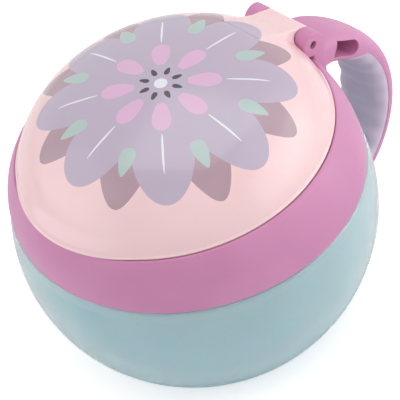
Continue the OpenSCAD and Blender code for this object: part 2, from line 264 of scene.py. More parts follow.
def plate(outline: Sequence[Vector], depth: Vector, soft: float = 0.0,
          segments: int = 3) -> bmesh.types.BMesh:
    """A flat outline pushed through a depth, with softened edges.

    Args:
        outline: Corner points of the flat face.
        depth: Direction and length of the push.
        soft: Width of the rounding along the two outlines.
        segments: Segments in that rounding.

    Returns:
        The closed plate.
    """
    bm = bmesh.new()
    verts = [bm.verts.new(p) for p in outline]
    face = bm.faces.new(verts)
    grown = bmesh.ops.extrude_face_region(bm, geom=[face])["geom"]
    top = [g for g in grown if isinstance(g, bmesh.types.BMVert)]
    bmesh.ops.translate(bm, verts=top, vec=depth)
    bmesh.ops.recalc_face_normals(bm, faces=bm.faces)
    if soft > 0:
        along = depth.normalized()
        rims = [e for e in bm.edges if abs((e.verts[1].co - e.verts[0].co).normalized().dot(along)) < 0.5]
        bmesh.ops.bevel(bm, geom=rims, offset=soft, segments=segments, profile=0.5, affect="EDGES",
                        material=-1, clamp_overlap=True)
    return bm


def rod(centre: Vector, radius: float, half: float, segments: int = 64) -> bmesh.types.BMesh:
    """A closed rod along X.

    Args:
        centre: The middle of the rod.
        radius: Its radius.
        half: Half its length.
        segments: Sides of its outline.

    Returns:
        The rod's mesh.
    """
    bm = bmesh.new()
    turn = Matrix.Translation(centre) @ Matrix.Rotation(math.pi / 2, 4, "Y")
    bmesh.ops.create_cone(bm, cap_ends=True, segments=segments, radius1=radius, radius2=radius,
                          depth=2 * half, matrix=turn)
    return bm


def finish_mesh(obj: bpy.types.Object, crisp: float) -> None:
    """Shades a mesh smooth except across edges sharper than an angle in degrees.

    Args:
        obj: The object whose mesh is shaded.
        crisp: Angle in degrees above which an edge stays sharp.
    """
    for polygon in obj.data.polygons:
        polygon.use_smooth = True
    obj.data.set_sharp_from_angle(angle=math.radians(crisp))


def make(name: str, bm: bmesh.types.BMesh, crisp: float = 35.0) -> bpy.types.Object:
    """Turns a working mesh into a named object that sits at the origin.

    Args:
        name: The object's name.
        bm: The working mesh, which is used up.
        crisp: Angle in degrees above which an edge stays sharp.

    Returns:
        The object, in the scene and shaded smooth.
    """
    mesh = bpy.data.meshes.new(name)
    bm.to_mesh(mesh)
    bm.free()
    obj = bpy.data.objects.new(name, mesh)
    bpy.context.scene.collection.objects.link(obj)
    finish_mesh(obj, crisp)
    return obj


def settle(obj: bpy.types.Object, crisp: float = 35.0) -> None:
    """Applies an object's modifiers to its mesh.

    Args:
        obj: The object.
        crisp: Angle in degrees above which an edge stays sharp.
    """
    graph = bpy.context.evaluated_depsgraph_get()
    settled = bpy.data.meshes.new_from_object(obj.evaluated_get(graph))
    obj.modifiers.clear()
    old = obj.data
    obj.data = settled
    settled.name = obj.name
    bpy.data.meshes.remove(old)
    finish_mesh(obj, crisp)


def carve(obj: bpy.types.Object, tool: bmesh.types.BMesh, cut: Cut = Cut.TAKE, crisp: float = 35.0) -> None:
    """Joins a tool shape to a piece, or takes it away, and applies the result.

    Args:
        obj: The piece to change.
        tool: The closed tool shape, which is used up.
        cut: Whether the tool is taken away or joined.
        crisp: Angle in degrees above which an edge stays sharp.
    """
    helper = make("tool", tool)
    step = obj.modifiers.new("cut", "BOOLEAN")
    step.object = helper
    step.operation = cut.value
    step.solver = "EXACT"
    settle(obj, crisp)
    spare = helper.data
    bpy.data.objects.remove(helper)
    bpy.data.meshes.remove(spare)


# ---------------------------------------------------------------- finishes


def from_screen(red: int, green: int, blue: int) -> Colour:
    """A colour in scene-linear values.

    Args:
        red: The red screen value, from 0 to 255.
        green: The green one.
        blue: The blue one.

    Returns:
        The three scene-linear channels.
    """
    def one(value: int) -> float:
        """One channel in scene-linear values."""
        share = value / 255
        return share / 12.92 if share <= 0.04045 else ((share + 0.055) / 1.055) ** 2.4
    return one(red), one(green), one(blue)


class Nodes:
    """A short way to build a material's node tree."""

    def __init__(self, name: str) -> None:
        """Starts a material with an empty tree and a surface shader.

        Args:
            name: The material's name.
        """
        self.material = bpy.data.materials.new(name)
        self.material.use_nodes = True
        self.tree = self.material.node_tree
        self.shader = self.tree.nodes["Principled BSDF"]
        self.place = self.add("ShaderNodeTexCoord").outputs["Object"]

    def add(self, kind: str, **settings: object) -> bpy.types.Node:
        """Adds a node and sets its properties.

        Args:
            kind: Blender's name of the node's type.
            settings: Its properties.

        Returns:
            The node.
        """
        node = self.tree.nodes.new(kind)
        for key, value in settings.items():
            setattr(node, key, value)
        return node

    def link(self, value: object, socket: bpy.types.NodeSocket) -> None:
        """Feeds a socket from another socket or from a plain value.

        Args:
            value: A number, a colour or a socket.
            socket: The socket that it feeds.
        """
        if isinstance(value, bpy.types.NodeSocket):
            self.tree.links.new(value, socket)
        else:
            socket.default_value = value

    def math(self, operation: str, *values: object) -> bpy.types.NodeSocket:
        """A Math node's result.

        Args:
            operation: Blender's name of the operation.
            values: Numbers or sockets, in order.

        Returns:
            The node's output socket.
        """
        node = self.add("ShaderNodeMath", operation=operation)
        for value, socket in zip(values, node.inputs):
            self.link(value, socket)
        return node.outputs[0]

    def mix(self, share: object, first: object, second: object) -> bpy.types.NodeSocket:
        """A blend of two colours.

        Args:
            share: How much of the second colour there is, from 0 to 1.
            first: A colour or a socket.
            second: A colour or a socket.

        Returns:
            The blend's socket.
        """
        node = self.add("ShaderNodeMix", data_type="RGBA")
        for value, socket in zip((share, first, second), (node.inputs[0], node.inputs[6], node.inputs[7])):
            if isinstance(value, tuple):
                value = (*value, 1.0)
            self.link(value, socket)
        return node.outputs[2]

    def noise(self, per_metre: float, detail: float = 2.0) -> bpy.types.NodeSocket:
        """Soft noise in the piece's own space, from 0 to 1.

        Args:
            per_metre: How many of its lumps a metre holds.
            detail: Levels of finer noise on top.

        Returns:
            The noise's socket.
        """
        node = self.add("ShaderNodeTexNoise")
        self.link(self.place, node.inputs["Vector"])
        node.inputs["Scale"].default_value = per_metre
        node.inputs["Detail"].default_value = detail
        return node.outputs[0]

    def bump(self, height: bpy.types.NodeSocket, depth: float) -> bpy.types.NodeSocket:
        """A bumped normal.

        Args:
            height: Socket that gives the height, from 0 to 1.
            depth: What a height of 1 is in metres.

        Returns:
            The normal's socket.
        """
        node = self.add("ShaderNodeBump")
        node.inputs["Strength"].default_value = 1.0
        node.inputs["Distance"].default_value = depth
        self.link(height, node.inputs["Height"])
        return node.outputs[0]

    def spread(self, value: object, low: float, high: float, out_low: float,
               out_high: float) -> bpy.types.NodeSocket:
        """A value carried from one range to another, clamped and eased.

        Args:
            value: A number or a socket.
            low: The value that becomes out_low.
            high: The value that becomes out_high.
            out_low: Start of the new range.
            out_high: End of the new range.

        Returns:
            The new value's socket.
        """
        node = self.add("ShaderNodeMapRange", interpolation_type="SMOOTHSTEP")
        for number, socket in zip((value, low, high, out_low, out_high), node.inputs):
            self.link(number, socket)
        return node.outputs[0]

    def drift(self, per_metre: float, detail: float = 1.0) -> bpy.types.NodeSocket:
        """A slow change over the piece, from 0 to 1, that two shades are blended by.

        Args:
            per_metre: How many of its lumps a metre holds.
            detail: Levels of finer noise on top.

        Returns:
            The change's socket.
        """
        return self.spread(self.noise(per_metre, detail), *SHADE_RANGE, 0.0, 1.0)

    def uneven(self, per_metre: float, low: float, high: float, detail: float = 2.0) -> bpy.types.NodeSocket:
        """A value that wanders between two limits over the piece.

        Args:
            per_metre: How many of its lumps a metre holds.
            low: The lower limit.
            high: The upper limit.
            detail: Levels of finer noise on top.

        Returns:
            The value's socket.
        """
        return self.spread(self.noise(per_metre, detail), *GLOSS_RANGE, low, high)

    def set(self, **sockets: object) -> None:
        """Sets the surface shader's own sockets, by name with underscores for spaces.

        Args:
            sockets: The values or sockets, by name.
        """
        for key, value in sockets.items():
            if isinstance(value, tuple):
                value = (*value, 1.0)
            self.link(value, self.shader.inputs[key.replace("_", " ")])


@dataclass(frozen=True)
class Moulded:
    """Satin moulded plastic: fine spark-eroded grain and faint shade changes.

    Attributes:
        name: The material's name.
        colour: Its main colour.
        shade: The colour that it drifts to.
        roughness: Its middle roughness, which wanders by uneven either way.
        grain_depth: Depth of the grain.
        grain_per_metre: How many grains a metre holds.
        glow: Share of the light that goes under the surface, glow_depth deep.
    """

    name: str
    colour: Colour
    shade: Colour
    roughness: float = 0.42
    uneven: float = 0.03
    grain_depth: float = 0.012 * MM
    grain_per_metre: float = 2600.0
    glow: float = 0.3
    glow_depth: float = 2.0 * MM
    shine: float = 0.45

    def material(self) -> bpy.types.Material:
        """Builds the material.

        Returns:
            The material.
        """
        n = Nodes(self.name)
        n.set(Base_Color=n.mix(n.drift(45.0), self.colour, self.shade))
        n.set(Roughness=n.uneven(300.0, self.roughness - self.uneven, self.roughness + self.uneven))
        n.set(Normal=n.bump(n.noise(self.grain_per_metre), self.grain_depth))
        n.set(Subsurface_Weight=self.glow, Subsurface_Scale=self.glow_depth, Specular_IOR_Level=self.shine)
        return n.material


@dataclass(frozen=True)
class Rubber:
    """Soft matte rubber or silicone with a fine dusty grain.

    Attributes:
        name: The material's name.
        colour: Its main colour.
        shade: The colour that it drifts to.
        roughness: Its middle roughness, which wanders by uneven either way.
        grain_depth: Depth of the grain.
        grain_per_metre: How many grains a metre holds.
        glow: Share of the light that goes under the surface, glow_depth deep.
    """

    name: str
    colour: Colour
    shade: Colour
    roughness: float = 0.62
    uneven: float = 0.05
    grain_depth: float = 0.015 * MM
    grain_per_metre: float = 3200.0
    glow: float = 0.05
    glow_depth: float = 2.0 * MM
    shine: float = 0.35

    def material(self) -> bpy.types.Material:
        """Builds the material.

        Returns:
            The material.
        """
        n = Nodes(self.name)
        n.set(Base_Color=n.mix(n.drift(90.0, 2.0), self.colour, self.shade))
        n.set(Roughness=n.uneven(700.0, self.roughness - self.uneven, self.roughness + self.uneven))
        n.set(Normal=n.bump(n.noise(self.grain_per_metre), self.grain_depth))
        n.set(Subsurface_Weight=self.glow, Subsurface_Scale=self.glow_depth, Specular_IOR_Level=self.shine)
        return n.material


@dataclass(frozen=True)
class Clouded:
    """Clear tinted plastic with a milky cloud in it, deeper towards the bottom where the foot is thick and
    painted shade darkens its edge, and lighter in a painted highlight under the shoulder.

    Attributes:
        name: The material's name.
        colour: Its colour over most of the height.
        foot_colour: Its colour up to foot_low, which has faded out at foot_high; the thick foot's deeper
            tint, darkened further as painted shade along the bottom edge.
        painted_highlight_colour: Its colour from highlight_high up, which starts to come in at highlight_low;
            lighter than the body, it is a painted highlight in the band under the shoulder.
        cloud: Largest share of the foot's colour in the cloud.
        gloss: The limits that its roughness wanders between.
        swell: Depth of the soft swells in the surface.
        clear: Share of the light that goes right through, bent by index.
        milk: Share of the rest that goes under the surface, milk_depth deep.
    """

    name: str
    colour: Colour
    foot_colour: Colour
    painted_highlight_colour: Colour
    foot_low: float = 5.0 * MM
    foot_high: float = 17.0 * MM
    highlight_low: float = 48.5 * MM
    highlight_high: float = 49.3 * MM
    cloud: float = 0.12
    gloss: tuple[float, float] = (0.14, 0.17)
    swell: float = 0.02 * MM
    clear: float = 0.6
    index: float = 1.47
    milk: float = 0.3
    milk_depth: float = 4.0 * MM

    def material(self) -> bpy.types.Material:
        """Builds the material.

        Returns:
            The material.
        """
        n = Nodes(self.name)
        axes = n.add("ShaderNodeSeparateXYZ")
        n.link(n.place, axes.inputs[0])
        # Deeper teal towards the bottom: the thick foot's tint, darkened further as painted shade at the
        # bottom edge.
        rise = n.spread(axes.outputs[2], self.foot_low, self.foot_high, 0.0, 1.0)
        cloud = n.uneven(30.0, 0.0, self.cloud, 1.0)
        body = n.mix(cloud, self.colour, self.foot_colour)
        # The lighter band from just under the shoulder up is a painted highlight.
        crown = n.spread(axes.outputs[2], self.highlight_low, self.highlight_high, 0.0, 1.0)
        n.set(Base_Color=n.mix(crown, n.mix(rise, self.foot_colour, body), self.painted_highlight_colour))
        n.set(Roughness=n.uneven(260.0, *self.gloss))
        n.set(Normal=n.bump(n.noise(60.0, 1.0), self.swell))
        n.set(Transmission_Weight=self.clear, IOR=self.index)
        n.set(Subsurface_Weight=self.milk, Subsurface_Scale=self.milk_depth)
        return n.material


@dataclass(frozen=True)
class Steel:
    """Drawn steel wire with a fine, uneven shine.

    Attributes:
        name: The material's name.
        colour: Its lighter colour.
        shade: The darker colour of its specks.
        gloss: The limits that its roughness wanders between.
    """

    name: str
    colour: Colour = from_screen(168, 160, 164)
    shade: Colour = from_screen(132, 122, 128)
    gloss: tuple[float, float] = (0.3, 0.45)

    def material(self) -> bpy.types.Material:
        """Builds the material.

        Returns:
            The material.
        """
        n = Nodes(self.name)
        n.set(Base_Color=n.mix(n.noise(900.0), self.colour, self.shade))
        n.set(Roughness=n.uneven(2400.0, *self.gloss), Metallic=1.0)
        return n.material


@dataclass(frozen=True)
class Motif:
    """A leaf-shaped mark that repeats round the print's centre.

    Attributes:
        colour: The ink.
        count: How many there are in a full turn.
        turn: Angle in degrees of the first one.
        at: Distance of each mark's middle from the print's centre.
        half_length: Half length of the mark, outwards.
        half_width: Half width of the mark.
        taper: From 0, an ellipse, to about 0.8, a drop whose point faces outwards.
    """

    colour: Colour
    count: int
    turn: float
    at: float
    half_length: float
    half_width: float
    taper: float = 0.0


@dataclass(frozen=True)
class PrintedGloss:
    """Glossy plastic with a rosette printed on it in flat inks.

    Attributes:
        name: The material's name.
        ground: The plastic's main colour.
        shade: The colour that it drifts to.
        motifs: The marks of the print, the lowest ink first.
        centre: The print's centre, as x and y.
        lowest: Height below which nothing is printed.
        gloss: The limits that the roughness wanders between.
        swell: Depth of the soft swells in the surface.
        coat: Strength of the clear gloss on top, and coat_roughness its roughness.
        glow: Share of the light that goes under the surface, glow_depth deep.
    """

    name: str
    ground: Colour
    shade: Colour
    motifs: tuple[Motif, ...]
    centre: tuple[float, float]
    lowest: float
    gloss: tuple[float, float] = (0.2, 0.24)
    swell: float = 0.02 * MM
    coat: float = 0.35
    coat_roughness: float = 0.08
    glow: float = 0.2
    glow_depth: float = 1.5 * MM

    def mark(self, n: Nodes, radius: object, angle: object, motif: Motif) -> bpy.types.NodeSocket:
        """Where one motif lies, as 1 inside and 0 outside.

        Args:
            n: The material's nodes.
            radius: Distance from the print's centre.
            angle: Angle about the print's centre, in turns.
            motif: The motif.

        Returns:
            The mask's socket.
        """
        turned = n.math("MULTIPLY", angle, float(motif.count))
        turned = n.math("SUBTRACT", turned, motif.turn * motif.count / 360)
        step = n.math("SUBTRACT", n.math("FRACT", n.math("ADD", turned, 0.5)), 0.5)
        local = n.math("MULTIPLY", step, 2 * math.pi / motif.count)
        out = n.math("SUBTRACT", n.math("MULTIPLY", radius, n.math("COSINE", local)), motif.at)
        across = n.math("MULTIPLY", radius, n.math("SINE", local))
        along = n.math("DIVIDE", out, motif.half_length)
        width = n.math("SUBTRACT", 1.0, n.math("MULTIPLY", along, motif.taper))
        side = n.math("DIVIDE", n.math("DIVIDE", across, motif.half_width), width)
        reach = n.math("ADD", n.math("MULTIPLY", along, along), n.math("MULTIPLY", side, side))
        return n.math("LESS_THAN", reach, 1.0)

    def material(self) -> bpy.types.Material:
        """Builds the material.

        Returns:
            The material.
        """
        n = Nodes(self.name)
        axes = n.add("ShaderNodeSeparateXYZ")
        n.link(n.place, axes.inputs[0])
        x = n.math("SUBTRACT", axes.outputs[0], self.centre[0])
        y = n.math("SUBTRACT", axes.outputs[1], self.centre[1])
        radius = n.math("SQRT", n.math("ADD", n.math("MULTIPLY", x, x), n.math("MULTIPLY", y, y)))
        angle = n.math("DIVIDE", n.math("ARCTAN2", y, x), 2 * math.pi)
        top = n.math("GREATER_THAN", axes.outputs[2], self.lowest)
        colour = n.mix(n.drift(25.0), self.ground, self.shade)
        for motif in self.motifs:
            ink = n.math("MULTIPLY", self.mark(n, radius, angle, motif), top)
            colour = n.mix(ink, colour, motif.colour)
        n.set(Base_Color=colour)
        n.set(Roughness=n.uneven(200.0, *self.gloss))
        n.set(Normal=n.bump(n.noise(40.0, 1.0), self.swell))
        n.set(Coat_Weight=self.coat, Coat_Roughness=self.coat_roughness)
        n.set(Subsurface_Weight=self.glow, Subsurface_Scale=self.glow_depth)
        return n.material


ORCHID = from_screen(213, 144, 186)
ORCHID_SHADE = from_screen(209, 139, 182)
PINK = from_screen(253, 216, 218)
PINK_SHADE = from_screen(251, 211, 214)
LAVENDER = from_screen(194, 180, 200)
MAUVE = from_screen(184, 154, 166)
LILAC = from_screen(226, 184, 216)
MINT = from_screen(184, 204, 200)
INK = from_screen(66, 67, 70)
CHALK = from_screen(236, 238, 244)

ROSETTE = (
    Motif(MAUVE, 8, 22.5, 24.0 * MM, 14.5 * MM, 8.0 * MM, 0.2),
    Motif(LAVENDER, 8, 0.0, 21.0 * MM, 16.0 * MM, 8.6 * MM, -0.15),
    Motif(CHALK, 8, 0.0, 24.0 * MM, 6.0 * MM, 0.32 * MM),
    Motif(LILAC, 8, 0.0, 12.0 * MM, 5.0 * MM, 2.6 * MM, -0.3),
    Motif(MINT, 8, 22.5, 27.0 * MM, 4.2 * MM, 2.1 * MM, 0.45),
    Motif(LAVENDER, 1, 0.0, 0.0, 7.6 * MM, 7.6 * MM),
    Motif(INK, 8, 22.5, 5.0 * MM, 1.5 * MM, 0.75 * MM, 0.3),
    Motif(CHALK, 1, 0.0, 0.0, 1.9 * MM, 1.9 * MM),
)


class Finishes:
    """Every finish of the container, built once."""

    def __init__(self, plan: Plan) -> None:
        """Builds the materials.

        Args:
            plan: The shared sizes, which place the print.
        """
        self.orchid = Moulded("orchid_satin", ORCHID, ORCHID_SHADE).material()
        self.lid = PrintedGloss("printed_pink_gloss", PINK, PINK_SHADE, ROSETTE,
                                (1.0 * MM, plan.lid_y - 1.0 * MM), plan.rim_z + 3.0 * MM).material()
        self.liner = Moulded("pink_satin", PINK, PINK_SHADE, roughness=0.35).material()
        # The bowl's last colour is a painted highlight under the shoulder; its foot colour is the thick
        # plastic's tint, darkened further by painted shade.
        self.bowl = Clouded("clouded_aqua", from_screen(224, 245, 249), from_screen(84, 198, 218),
                            from_screen(228, 245, 248)).material()
        # The grip's colours are its own lavender grey made much lighter, as painted fill light for its shaded
        # inner face.
        self.grip = Rubber("grip_rubber", from_screen(222, 203, 224), from_screen(215, 196, 217)).material()
        self.milk = Rubber("milk_silicone", from_screen(238, 236, 240), from_screen(232, 230, 235),
                           roughness=0.5, glow=0.2).material()
        self.steel = Steel("drawn_steel").material()


def dress(obj: bpy.types.Object, material: bpy.types.Material) -> None:
    """Gives a piece its one material."""
    obj.data.materials.clear()
    obj.data.materials.append(material)


def seat(obj: bpy.types.Object, body: str, node: str) -> None:
    """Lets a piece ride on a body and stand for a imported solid.

    Args:
        obj: The piece.
        body: The body that it moves with.
        node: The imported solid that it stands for.
    """
    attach(obj, body)
    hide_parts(node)
    log.info("%s rides on %s: %d faces", obj.name, body, len(obj.data.polygons))


# ---------------------------------------------------------------- round shapes


def turn_ring(plan: Plan, corner: Corner, segments: int) -> Ring:
    """A ring of points about the axis, on the way from a circle to the lid's oval.

    Args:
        plan: The shared sizes.
        corner: The section's corner that is turned.
        segments: How many points the ring has.

    Returns:
        The ring.
    """
    ring = []
    for i in range(segments):
        a = 2 * math.pi * i / segments
        y = (corner.r + corner.oval * plan.lid_extra) * math.sin(a) + corner.oval * plan.lid_y
        ring.append(Vector((corner.r * math.cos(a), y, corner.z)))
    return ring


def turned(plan: Plan, corners: Sequence[Corner], closed: bool = True,
           segments: int = 160) -> bmesh.types.BMesh:
    """A wall turned about the axis from its section.

    Args:
        plan: The shared sizes.
        corners: The section's corners, whose roundings are made here.
        closed: Whether the section is a loop; otherwise it starts and ends at the axis.
        segments: Steps round the axis.

    Returns:
        The wall's closed mesh.
    """
    section = soften(corners, closed)
    return loft([turn_ring(plan, c, segments) for c in section], closed)


@dataclass(frozen=True)
class Thread:
    """A run of helical ridges on a neck or inside a bore.

    Attributes:
        wall_r: Radius of the wall that the ridges stand on.
        outward: 1 for ridges on a neck and -1 for ridges in a bore.
        foot_z: Height at which each ridge starts.
        lead: Rise in one full turn.
        starts: How many ridges there are.
        cover: Angle in degrees that each ridge covers.
        height: How far a ridge stands out of the wall.
        width: Its width at the wall.
        sunk: How far it reaches into the wall.
        rings: Steps along a ridge.
    """

    wall_r: float
    outward: int
    foot_z: float
    lead: float = 9.0 * MM
    starts: int = 2
    cover: float = 160.0
    height: float = 1.3 * MM
    width: float = 2.0 * MM
    sunk: float = 0.4 * MM
    rings: int = 48

    def ridge_ring(self, start: int, i: int) -> Ring:
        """The ridge's section at one station along it.

        Args:
            start: Which of the ridges it is.
            i: The step along the ridge.

        Returns:
            The section's points in the container's space.
        """
        share = i / self.rings
        angle = math.radians(self.cover * share + 360.0 * start / self.starts)
        z = self.foot_z + self.lead * self.cover * share / 360
        rise = self.height * min(1.0, 6 * share + 0.1, 6 * (1 - share) + 0.1)
        tip = self.width * 0.24
        section = [(-self.sunk, -self.width / 2), (rise * 0.8, -tip * 1.35), (rise, -tip * 0.7),
                   (rise, tip * 0.7), (rise * 0.8, tip * 1.35), (-self.sunk, self.width / 2)]
        return [Vector(((self.wall_r + self.outward * d) * math.cos(angle),
                        (self.wall_r + self.outward * d) * math.sin(angle), z + h)) for d, h in section]

    def mesh(self) -> bmesh.types.BMesh:
        """All the starts in one mesh."""
        ridges = [loft([self.ridge_ring(s, i) for i in range(self.rings + 1)]) for s in range(self.starts)]
        return merged(*ridges)


@dataclass
class Bowl:
    """The translucent bowl with its thick foot, shoulder and threaded neck.

    Attributes:
        belly_z: Height of the widest part, and belly_r its radius.
        side_arc: Radius of the arc of the side, and foot_arc of the turn to the base.
        foot_centre: Distance of the foot arc's centre from the axis.
        thread_rise: Height of the thread's start above the shoulder.
        recess: Depth of the hollow under the base, reached at recess_in inside the foot's edge.
        stand: Width of the ring that the bowl stands on.
        arc_step: Degrees from one point of an arc to the next.
    """

    plan: Plan
    belly_z: float = 38.5 * MM
    belly_r: float = 54.3 * MM
    side_arc: float = 51.1 * MM
    foot_arc: float = 20.0 * MM
    foot_centre: float = 27.6 * MM
    wall: float = 2.6 * MM
    floor: float = 6.0 * MM
    thread_rise: float = 3.6 * MM
    recess: float = 1.2 * MM
    recess_in: float = 6.0 * MM
    stand: float = 5.2 * MM
    base_soft: float = 0.8 * MM
    shoulder_soft: float = 0.9 * MM
    neck_soft: float = 0.5 * MM
    floor_soft: float = 1.5 * MM
    arc_step: float = 3.0

    def arc(self, r: float, z: float, radius: float, low: float, high: float) -> list[Corner]:
        """Points of an arc of the section, from its high end to its low end.

        Args:
            r: Distance of the arc's centre from the axis.
            z: Height of the centre.
            radius: The arc's radius.
            low: Angle in degrees of the low end, from level.
            high: Angle in degrees of the high end.

        Returns:
            The arc's points.
        """
        count = max(2, round((high - low) / self.arc_step))
        angles = [math.radians(high - (high - low) * i / count) for i in range(count + 1)]
        return [Corner(r + radius * math.cos(a), z + radius * math.sin(a)) for a in angles]

    def skin(self, inset: float, top: float, bottom: float) -> list[Corner]:
        """One face of the wall from its top down to the floor.

        Args:
            inset: Distance inside the outer face.
            top: Height at which the face starts.
            bottom: Height at which it reaches the floor.

        Returns:
            The face's points, downwards.
        """
        side_r = self.belly_r - self.side_arc
        drop = math.sqrt((self.side_arc - self.foot_arc) ** 2 - (self.foot_centre - side_r) ** 2)
        foot_z = self.belly_z - drop
        join = math.degrees(math.atan2(foot_z - self.belly_z, self.foot_centre - side_r))
        high = math.degrees(math.asin((top - self.belly_z) / (self.side_arc - inset)))
        low = math.degrees(math.asin(max(-1.0, (bottom - foot_z) / (self.foot_arc - inset))))
        side = self.arc(side_r, self.belly_z, self.side_arc - inset, join, high)
        foot = self.arc(self.foot_centre, foot_z, self.foot_arc - inset, low, join)
        return side + foot[1:]

    def section(self) -> list[Corner]:
        """The whole wall from the middle of the base, up outside and down inside.

        Returns:
            The wall's corners.
        """
        p = self.plan
        outer = self.skin(0.0, p.shoulder_z, 0.0)[::-1]
        inner = self.skin(self.wall, p.shoulder_z - self.wall, self.floor)
        neck_in = p.neck_r - p.neck_wall
        base = [Corner(AXIS_R, self.recess),
                Corner(outer[0].r - self.recess_in, self.recess, soft=self.recess),
                Corner(outer[0].r - self.stand, 0.0, soft=self.base_soft),
                Corner(outer[0].r, 0.0, soft=self.base_soft)]
        shoulder = Corner(outer[-1].r, outer[-1].z, soft=self.shoulder_soft)
        neck = [Corner(p.neck_r, p.shoulder_z, soft=self.base_soft),
                Corner(p.neck_r, p.neck_top, soft=self.neck_soft),
                Corner(neck_in, p.neck_top, soft=self.neck_soft),
                Corner(neck_in, p.shoulder_z - self.wall, soft=self.shoulder_soft)]
        inside = [Corner(inner[0].r, inner[0].z, soft=self.shoulder_soft), *inner[1:-1],
                  Corner(inner[-1].r, self.floor, soft=self.floor_soft), Corner(AXIS_R, self.floor)]
        return [*base, *outer[1:-1], shoulder, *neck, *inside]

    def build(self, finishes: Finishes) -> None:
        """Makes and seats the bowl.

        Args:
            finishes: The container's finishes.
        """
        body = turned(self.plan, self.section(), closed=False)
        ridges = Thread(self.plan.neck_r, 1, self.plan.shoulder_z + self.thread_rise).mesh()
        bowl = make("bowl_body", merged(body, ridges))
        dress(bowl, finishes.bowl)
        seat(bowl, "bowl", "bowl")


@dataclass
class Collar:
    """The screw-on collar: leaning face, lip, deck, bore and the two hinge ears.

    Attributes:
        bulge: How far the face swells; bulge_out and bulge_up are its shares out and up.
        bore_r: Radius of the threaded bore.
        well_gap: Gap round the lid at the bottom of the groove that it sits in.
        well_slope: Height over which that groove narrows.
        slices: Steps up the face.
        foot_soft: Rounding of the lower edge, as the other sizes in _soft are of their corners.
        ear_front: Place of the front of the ears' stalks, towards the back from the pin's centre.
        ear_foot: Height above the lower edge at which the stalks start.
    """

    plan: Plan
    bulge: float = 1.2 * MM
    bulge_out: float = 0.9
    bulge_up: float = 0.43
    bore_r: float = 46.82 * MM
    thread_rise: float = 1.6 * MM
    well_gap: float = 0.18 * MM
    well_slope: float = 0.8 * MM
    slices: int = 14
    foot_soft: float = 0.5 * MM
    lip_soft: float = 0.45 * MM
    well_soft: float = 0.25 * MM
    seat_soft: float = 0.2 * MM
    corner_soft: float = 0.15 * MM
    mouth_soft: float = 0.7 * MM
    under_soft: float = 0.4 * MM
    bore_soft: float = 0.7 * MM
    entry_soft: float = 0.6 * MM
    ear_front: float = -0.3 * MM
    ear_foot: float = 5.0 * MM
    ear_soft: float = 0.45 * MM
    nose_steps: int = 40
    pin_r: float = 1.3 * MM
    pin_clear: float = 0.02 * MM
    around: int = 200

    def face(self) -> list[Corner]:
        """The leaning outer face from its lower edge up to the lip.

        Returns:
            The face's points, upwards.
        """
        p = self.plan
        top_r = p.lid_rx + p.lid_gap + p.lip_t
        out = []
        for i in range(self.slices + 1):
            t = i / self.slices
            swell = 4 * t * (1 - t) * self.bulge
            r = p.collar_low_r + (top_r - p.collar_low_r) * t + self.bulge_out * swell
            z = min(p.collar_z + (p.rim_z - p.collar_z) * t + self.bulge_up * swell, p.rim_z)
            out.append(Corner(r, z, t))
        return out

    def section(self) -> list[Corner]:
        """The closed section of the collar's wall.

        Returns:
            The section's corners.
        """
        p = self.plan
        face = self.face()
        low, high = face[0], face[-1]
        well, seat_r = p.lid_rx + p.lid_gap, p.lid_rx + self.well_gap
        return [Corner(low.r, low.z, soft=self.foot_soft), *face[1:-1],
                Corner(high.r, high.z, 1.0, self.lip_soft),
                Corner(well, p.rim_z, 1.0, self.well_soft),
                Corner(seat_r, p.rim_z - self.well_slope, 1.0, self.seat_soft),
                Corner(seat_r, p.deck_z, 1.0, self.corner_soft),
                Corner(p.mouth_r, p.deck_z, soft=self.mouth_soft),
                Corner(p.mouth_r, p.deck_under, soft=self.under_soft),
                Corner(self.bore_r, p.deck_under, soft=self.bore_soft),
                Corner(self.bore_r, p.collar_z, soft=self.entry_soft)]

    def ear_outline(self, x: float) -> list[Vector]:
        """An ear's side view: a round nose on a stalk that stands in the collar.

        Args:
            x: Distance from the middle plane at which it lies.

        Returns:
            The outline's points.
        """
        p = self.plan
        start = math.acos(self.ear_front / p.ear_r)
        sweep = 2 * math.pi - start
        angles = [-start - sweep * i / self.nose_steps for i in range(self.nose_steps + 1)]
        nose = [Vector((x, p.pin.y + p.ear_r * math.cos(a), p.pin.z + p.ear_r * math.sin(a)))
                for a in angles]
        foot = p.collar_z + self.ear_foot
        return [*nose, Vector((x, p.pin.y + p.ear_r, foot)), Vector((x, p.pin.y + self.ear_front, foot))]

    def ears(self, collar: bpy.types.Object) -> None:
        """Joins the two ears to the collar and drills them for the pin.

        Args:
            collar: The collar without its ears.
        """
        p = self.plan
        for side in Side:
            start = side.value * p.ear_in
            ear = plate(self.ear_outline(start), Vector((side.value * p.ear_t, 0, 0)), self.ear_soft)
            carve(collar, ear, Cut.JOIN)
        carve(collar, rod(p.pin, self.pin_r + self.pin_clear, p.ear_out + OVER, 40))

    def blank(self, inset: float) -> bmesh.types.BMesh:
        """The collar's outside as one solid, set in from its face."""
        rings = [turn_ring(self.plan, Corner(c.r - inset, c.z, c.oval), 160) for c in self.face()]
        return loft(rings)

    def build(self, finishes: Finishes) -> None:
        """Makes and seats the collar.

        Args:
            finishes: The container's finishes.
        """
        p = self.plan
        collar = make("collar_ring", turned(p, self.section(), segments=self.around))
        self.ears(collar)
        carve(collar, Thread(self.bore_r, -1, p.collar_z + self.thread_rise).mesh(), Cut.JOIN)
        dress(collar, finishes.orchid)
        seat(collar, "collar", "collar")


